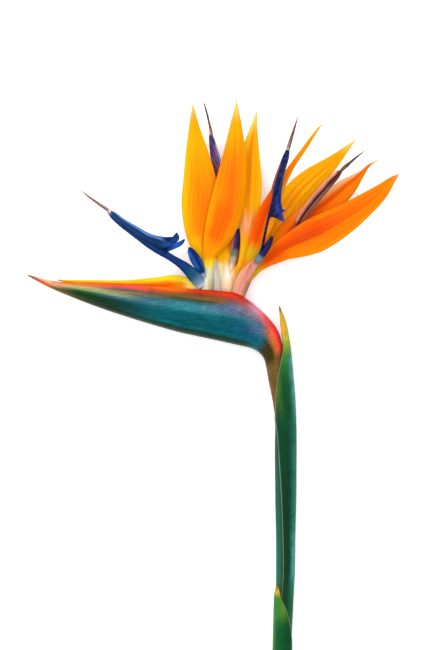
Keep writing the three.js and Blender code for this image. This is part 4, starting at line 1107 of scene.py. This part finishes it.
def petal_material(name, base, washes, vein, pale, gloss, glow, rib=None):
    """Petal skin with fine lengthwise veins between paler lines, and with a toned midrib."""
    s = Shader(name)
    place, side = along_and_across(s, 0.06)
    along, across = s.attribute("along"), s.attribute("across")
    veins = s.grain(across, 15.0, along, 2.2)
    fine = s.grain(across, 52.0, along, 4.0, 2.0)
    hatch = s.grain(across, 7.0, along, 70.0, 3.0)
    colour = s.wash(paint(base), washes, place, side, (0.05, 0.16))
    if rib:
        rib_name, rib_share = rib
        line = s.times(s.window(across, -0.03, 0.03, 0.05), s.window(along, 0.24, 0.9, 0.06))
        colour = s.mix(s.times(line, rib_share), colour, paint(rib_name))
    colour = s.streaks(
        colour, (veins, 0.52, 0.64, 0.85, vein), (veins, 0.47, 0.36, 0.7, pale),
        (fine, 0.52, 0.6, 0.7, vein), (fine, 0.46, 0.38, 0.5, pale))
    height = s.plus(s.times(veins, 0.8), s.plus(s.times(fine, 0.4), s.times(hatch, 0.25)))
    return s.finish(colour, s.plus(s.times(fine, 0.2), 0.34), s.bump(height, 0.6, 0.0007), gloss, glow)


def arrow_material(name, skin, barb, outside, inside, inner):
    """Arrow skin with slanting barbs; skin is the tone of its outer wall, inner of its channel."""
    s = Shader(name)
    place, side = along_and_across(s, 0.03)
    along, across = s.attribute("along"), s.attribute("across")
    outer = s.wash(paint(skin), outside, place, side, (0.03, 0.07))
    channel = s.wash(paint(inner), inside, place, side, (0.03, 0.07))
    colour = s.mix(s.attribute("inside"), outer, channel)
    slant = s.plus(s.times(along, 46.0), s.times(across, 9.0))
    barbs = s.noise(s.vector(s.times(across, 2.0), slant, s.seed), 1.0, 2.0)
    lines = s.grain(across, 11.0, along, 5.0)
    barb_name, barb_share = barb
    colour = s.mix(s.times(s.step(barbs, 0.5, 0.6), barb_share), colour, paint(barb_name))
    colour = s.streaks(colour, (lines, 0.5, 0.34, 0.7, (120, 115, 140)))
    return s.finish(colour, 0.3, s.bump(s.plus(lines, s.times(barbs, 0.5)), 0.5, 0.0005), gloss=0.06)


def stalk_material(name, base, washes, glow=0.0, streaks=0.5, bands=0.0):
    """Round stalk with lengthwise streaks and, on a style, pale slanting bands.

    The cut face has pale pith with darker strands.
    """
    s = Shader(name)
    place, side = along_and_across(s, 0.06)
    along, across = s.attribute("along"), s.attribute("across")
    lines = s.grain(across, 6.0, along, 4.0)
    colour = s.wash(paint(base), washes, place, side, (0.08, 0.2))
    colour = s.streaks(colour, (lines, 0.5, 0.68, streaks, (215, 160, 130)))
    if bands:
        twist = s.grain(s.plus(across, s.times(along, 8.0)), 2.5, along, 26.0, 2.0)
        colour = s.mix(s.times(s.step(twist, 0.5, 0.6), bands), colour, paint("shell"))
    strands = s.noise(s.object_coordinates, 1500.0, 1.0)
    pith = s.mix(s.step(strands, 0.55, 0.7), paint("pith"), paint("pith rim"))
    colour = s.mix(s.step(s.attribute("cut"), 0.05, 0.2), colour, pith)
    return s.finish(colour, 0.45, s.bump(lines, 0.5, 0.0005), gloss=0.08, glow=glow)


def spathe_material():
    """Waxy boat: cool flanks, darker on the keel side partly with painted shade, a painted highlight band
    higher up, a red margin, fine cross wrinkles and long veins.
    """
    s = Shader("spathe_skin")
    place, height = along_and_across(s, 0.025)
    along, across = s.attribute("along"), s.attribute("across")
    colour = s.wash(paint("teal"), SPATHE_WASHES, place, height, (0.035, 0.06))
    colour = s.wash(colour, SPATHE_BEND_WASHES, place, height, (0.03, 0.13))
    lining = s.wash(paint("olive brown"), [("coral", ALL, (0.8, 2), 0.7)], place, height, (0.02, 0.1))
    colour = s.mix(s.attribute("inside"), colour, lining)
    veins = s.grain(across, 26.0, along, 7.0)
    length, girth = s.times(along, 270.0), s.times(across, 26.0)
    forward, backward = s.plus(length, s.times(girth, 1.4)), s.plus(length, s.times(girth, -2.6))
    wrinkles = s.grain(backward, 0.5, forward, 0.12, 3.0)
    flank = s.step(across, 0.84, 0.7)
    cloud = s.noise(s.object_coordinates, 120.0, 4.0)
    colour = s.streaks(
        colour, (veins, 0.52, 0.7, 0.6, (380, 350, 340)), (veins, 0.47, 0.3, 0.7, (140, 140, 140)),
        (wrinkles, 0.53, 0.62, s.times(flank, 0.5), (600, 420, 390)),
        (wrinkles, 0.48, 0.38, s.times(flank, 0.4), (140, 150, 150)),
        (cloud, 0.5, 0.32, 0.6, (160, 170, 165)))
    wrinkle_depth = s.times(wrinkles, s.plus(s.times(flank, 0.7), 0.3))
    normal = s.bump(s.plus(veins, wrinkle_depth), 0.6, 0.0007)
    return s.finish(colour, s.plus(s.times(cloud, 0.2), 0.24), normal, gloss=0.04)


def sheath_material(name, tuck_shade_from):
    """Rolled leaf sheath with fine ribs, a dry pale margin, and painted shade on the tucked edge beside it.
    """
    s = Shader(name)
    along, turn, facing = s.attribute("along"), s.attribute("across"), s.attribute("facing")
    cloud = s.noise(s.object_coordinates, 150.0, 4.0)
    ribs = s.grain(turn, 46.0, along, 8.0)
    specks = s.grain(turn, 20.0, along, 90.0)
    place, side = s.wander(along, cloud, 0.05), s.wander(facing, cloud, 0.25)
    colour = s.wash(paint("stem green"), SHEATH_GREENS[name], place, side, (0.15, 0.35))
    colour = s.wash(colour, SHEATH_DETAILS[name], place, side, (0.05, 0.25))
    # Painted shade: the tucked edge next to the overlapping margin is darkened with shade brown.
    tucked = s.times(s.step(turn, -0.6, -0.7), s.window(facing, -0.45, 0.2, 0.12))
    tucked = s.times(tucked, s.step(along, tuck_shade_from, tuck_shade_from + 0.05))
    colour = s.mix(s.times(tucked, 0.75), colour, paint("shade brown"))
    margin = s.times(s.step(turn, 0.966, 0.984), s.step(along, 0.12, 0.26))
    margin = s.times(margin, s.step(along, 1.3, 0.4))
    colour = s.mix(margin, colour, paint("margin grey"))
    colour = s.streaks(
        colour, (ribs, 0.52, 0.7, 0.6, (390, 340, 320)), (ribs, 0.47, 0.3, 0.7, (140, 150, 130)),
        (specks, 0.54, 0.68, 0.4, (380, 340, 300)), (cloud, 0.5, 0.34, 0.5, (150, 170, 150)))
    normal = s.bump(s.plus(ribs, s.times(specks, 0.4)), 0.5, 0.0006)
    return s.finish(colour, s.plus(s.times(cloud, 0.2), 0.24), normal, gloss=0.05)


# ------------------------------------------------------------------ pieces


def place_piece(piece, node, material):
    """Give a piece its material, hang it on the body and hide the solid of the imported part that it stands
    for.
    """
    piece.data.materials.append(material)
    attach(piece, BODY)
    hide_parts(node)


def build_petals():
    for node in PETALS:
        low = node == "flower1_sepal_low"
        if node in NECTARY_WASHES:
            slot, material = "petal_blue", petal_material(node, *NECTARY_WASHES[node], **NECTARY_SKIN)
        else:
            base, washes = SEPAL_WASHES.get(node, HIDDEN_SEPAL_WASHES)
            slot = "sepal_yellow" if low else "sepal_orange"
            material = petal_material(node, base, washes, **SEPAL_SKIN, rib=RIB_TONES.get(node))
        place_piece(blade_piece(node, upright=low), node, material)


def build_arrows():
    for node, washes in ARROW_WASHES.items():
        place_piece(arrow_piece(node), node, arrow_material(node, **washes))


def build_stalks():
    for node, (base, washes) in STYLE_WASHES.items():
        material = stalk_material(node, base, washes, bands=0.25)
        place_piece(tube_piece(node, sides=24), node, material)
    for node, (base, washes) in BASE_WASHES.items():
        material = stalk_material(node, base, washes, glow=0.15, streaks=0.3)
        place_piece(tube_piece(node), node, material)
    material = stalk_material("peduncle", *PEDUNCLE_WASHES)
    place_piece(tube_piece("peduncle"), "peduncle", material)


def build_leaves():
    place_piece(spathe_piece(), "spathe", spathe_material())
    for node, tuck_shade_from in {"upper_sheath": 0.3, "lower_sheath": 0.6}.items():
        place_piece(sheath_piece(node), node, sheath_material(node, tuck_shade_from))


# ------------------------------------------------------------------ floor, light and camera (metres)

FLOOR_SIZE = 12.0
FLOOR_LIGHT = 0.15
SKY_LIGHT = 0.76
# Square lamps: place, side, power in watts.
LAMPS = {"overhead": ((0.0, 0.1, 2.4), 2.2, 52.0), "key": ((-0.9, 1.0, 1.5), 0.9, 12.0)}
VIEW_CENTRE = (0.0039, 0.0488, 0.020)
VIEW_HEIGHT = 0.4225
CAMERA_LENS = 135.0
SENSOR_HEIGHT = 36.0


def build_floor():
    """A pale, slightly mottled table top."""
    half = FLOOR_SIZE / 2
    mesh = bpy.data.meshes.new("table")
    corners = [(-half, -half, 0), (half, -half, 0), (half, half, 0), (-half, half, 0)]
    mesh.from_pydata(corners, [], [(0, 1, 2, 3)])
    s = Shader("table")
    grain = s.noise(s.object_coordinates, 700.0)
    colour = s.mix(grain, (0.97, 0.97, 0.97, 1.0), (0.94, 0.94, 0.94, 1.0))
    mesh.materials.append(s.finish(colour, 0.85, s.bump(grain, 0.04, 0.0003), gloss=0.1, lit=FLOOR_LIGHT))
    add_object("table", mesh)


def build_light():
    """An even white sky and the square lamps, all turned to the middle of the view."""
    world = bpy.data.worlds.new("studio")
    world.use_nodes = True
    background = world.node_tree.nodes["Background"]
    background.inputs["Color"].default_value = WHITE
    background.inputs["Strength"].default_value = SKY_LIGHT
    bpy.context.scene.world = world
    for name, (location, size, power) in LAMPS.items():
        light = bpy.data.lights.new(name, "AREA")
        light.size = size
        light.energy = power
        lamp = add_object(name, light)
        lamp.location = location
        direction = Vector(VIEW_CENTRE) - Vector(location)
        lamp.rotation_euler = direction.to_track_quat("-Z", "Y").to_euler()


def build_camera():
    """The camera looks straight down from where the whole view fits its sensor."""
    data = bpy.data.cameras.new("camera")
    data.lens = CAMERA_LENS
    data.sensor_fit = "VERTICAL"
    data.sensor_height = SENSOR_HEIGHT
    data.clip_end = 50.0
    camera = add_object("camera", data)
    distance = VIEW_HEIGHT * CAMERA_LENS / SENSOR_HEIGHT
    camera.location = (VIEW_CENTRE[0], VIEW_CENTRE[1], VIEW_CENTRE[2] + distance)
    bpy.context.scene.camera = camera


build_camera()
build_petals()
build_arrows()
build_stalks()
build_leaves()
build_floor()
build_light()
bpy.context.scene.view_settings.view_transform = "Standard"
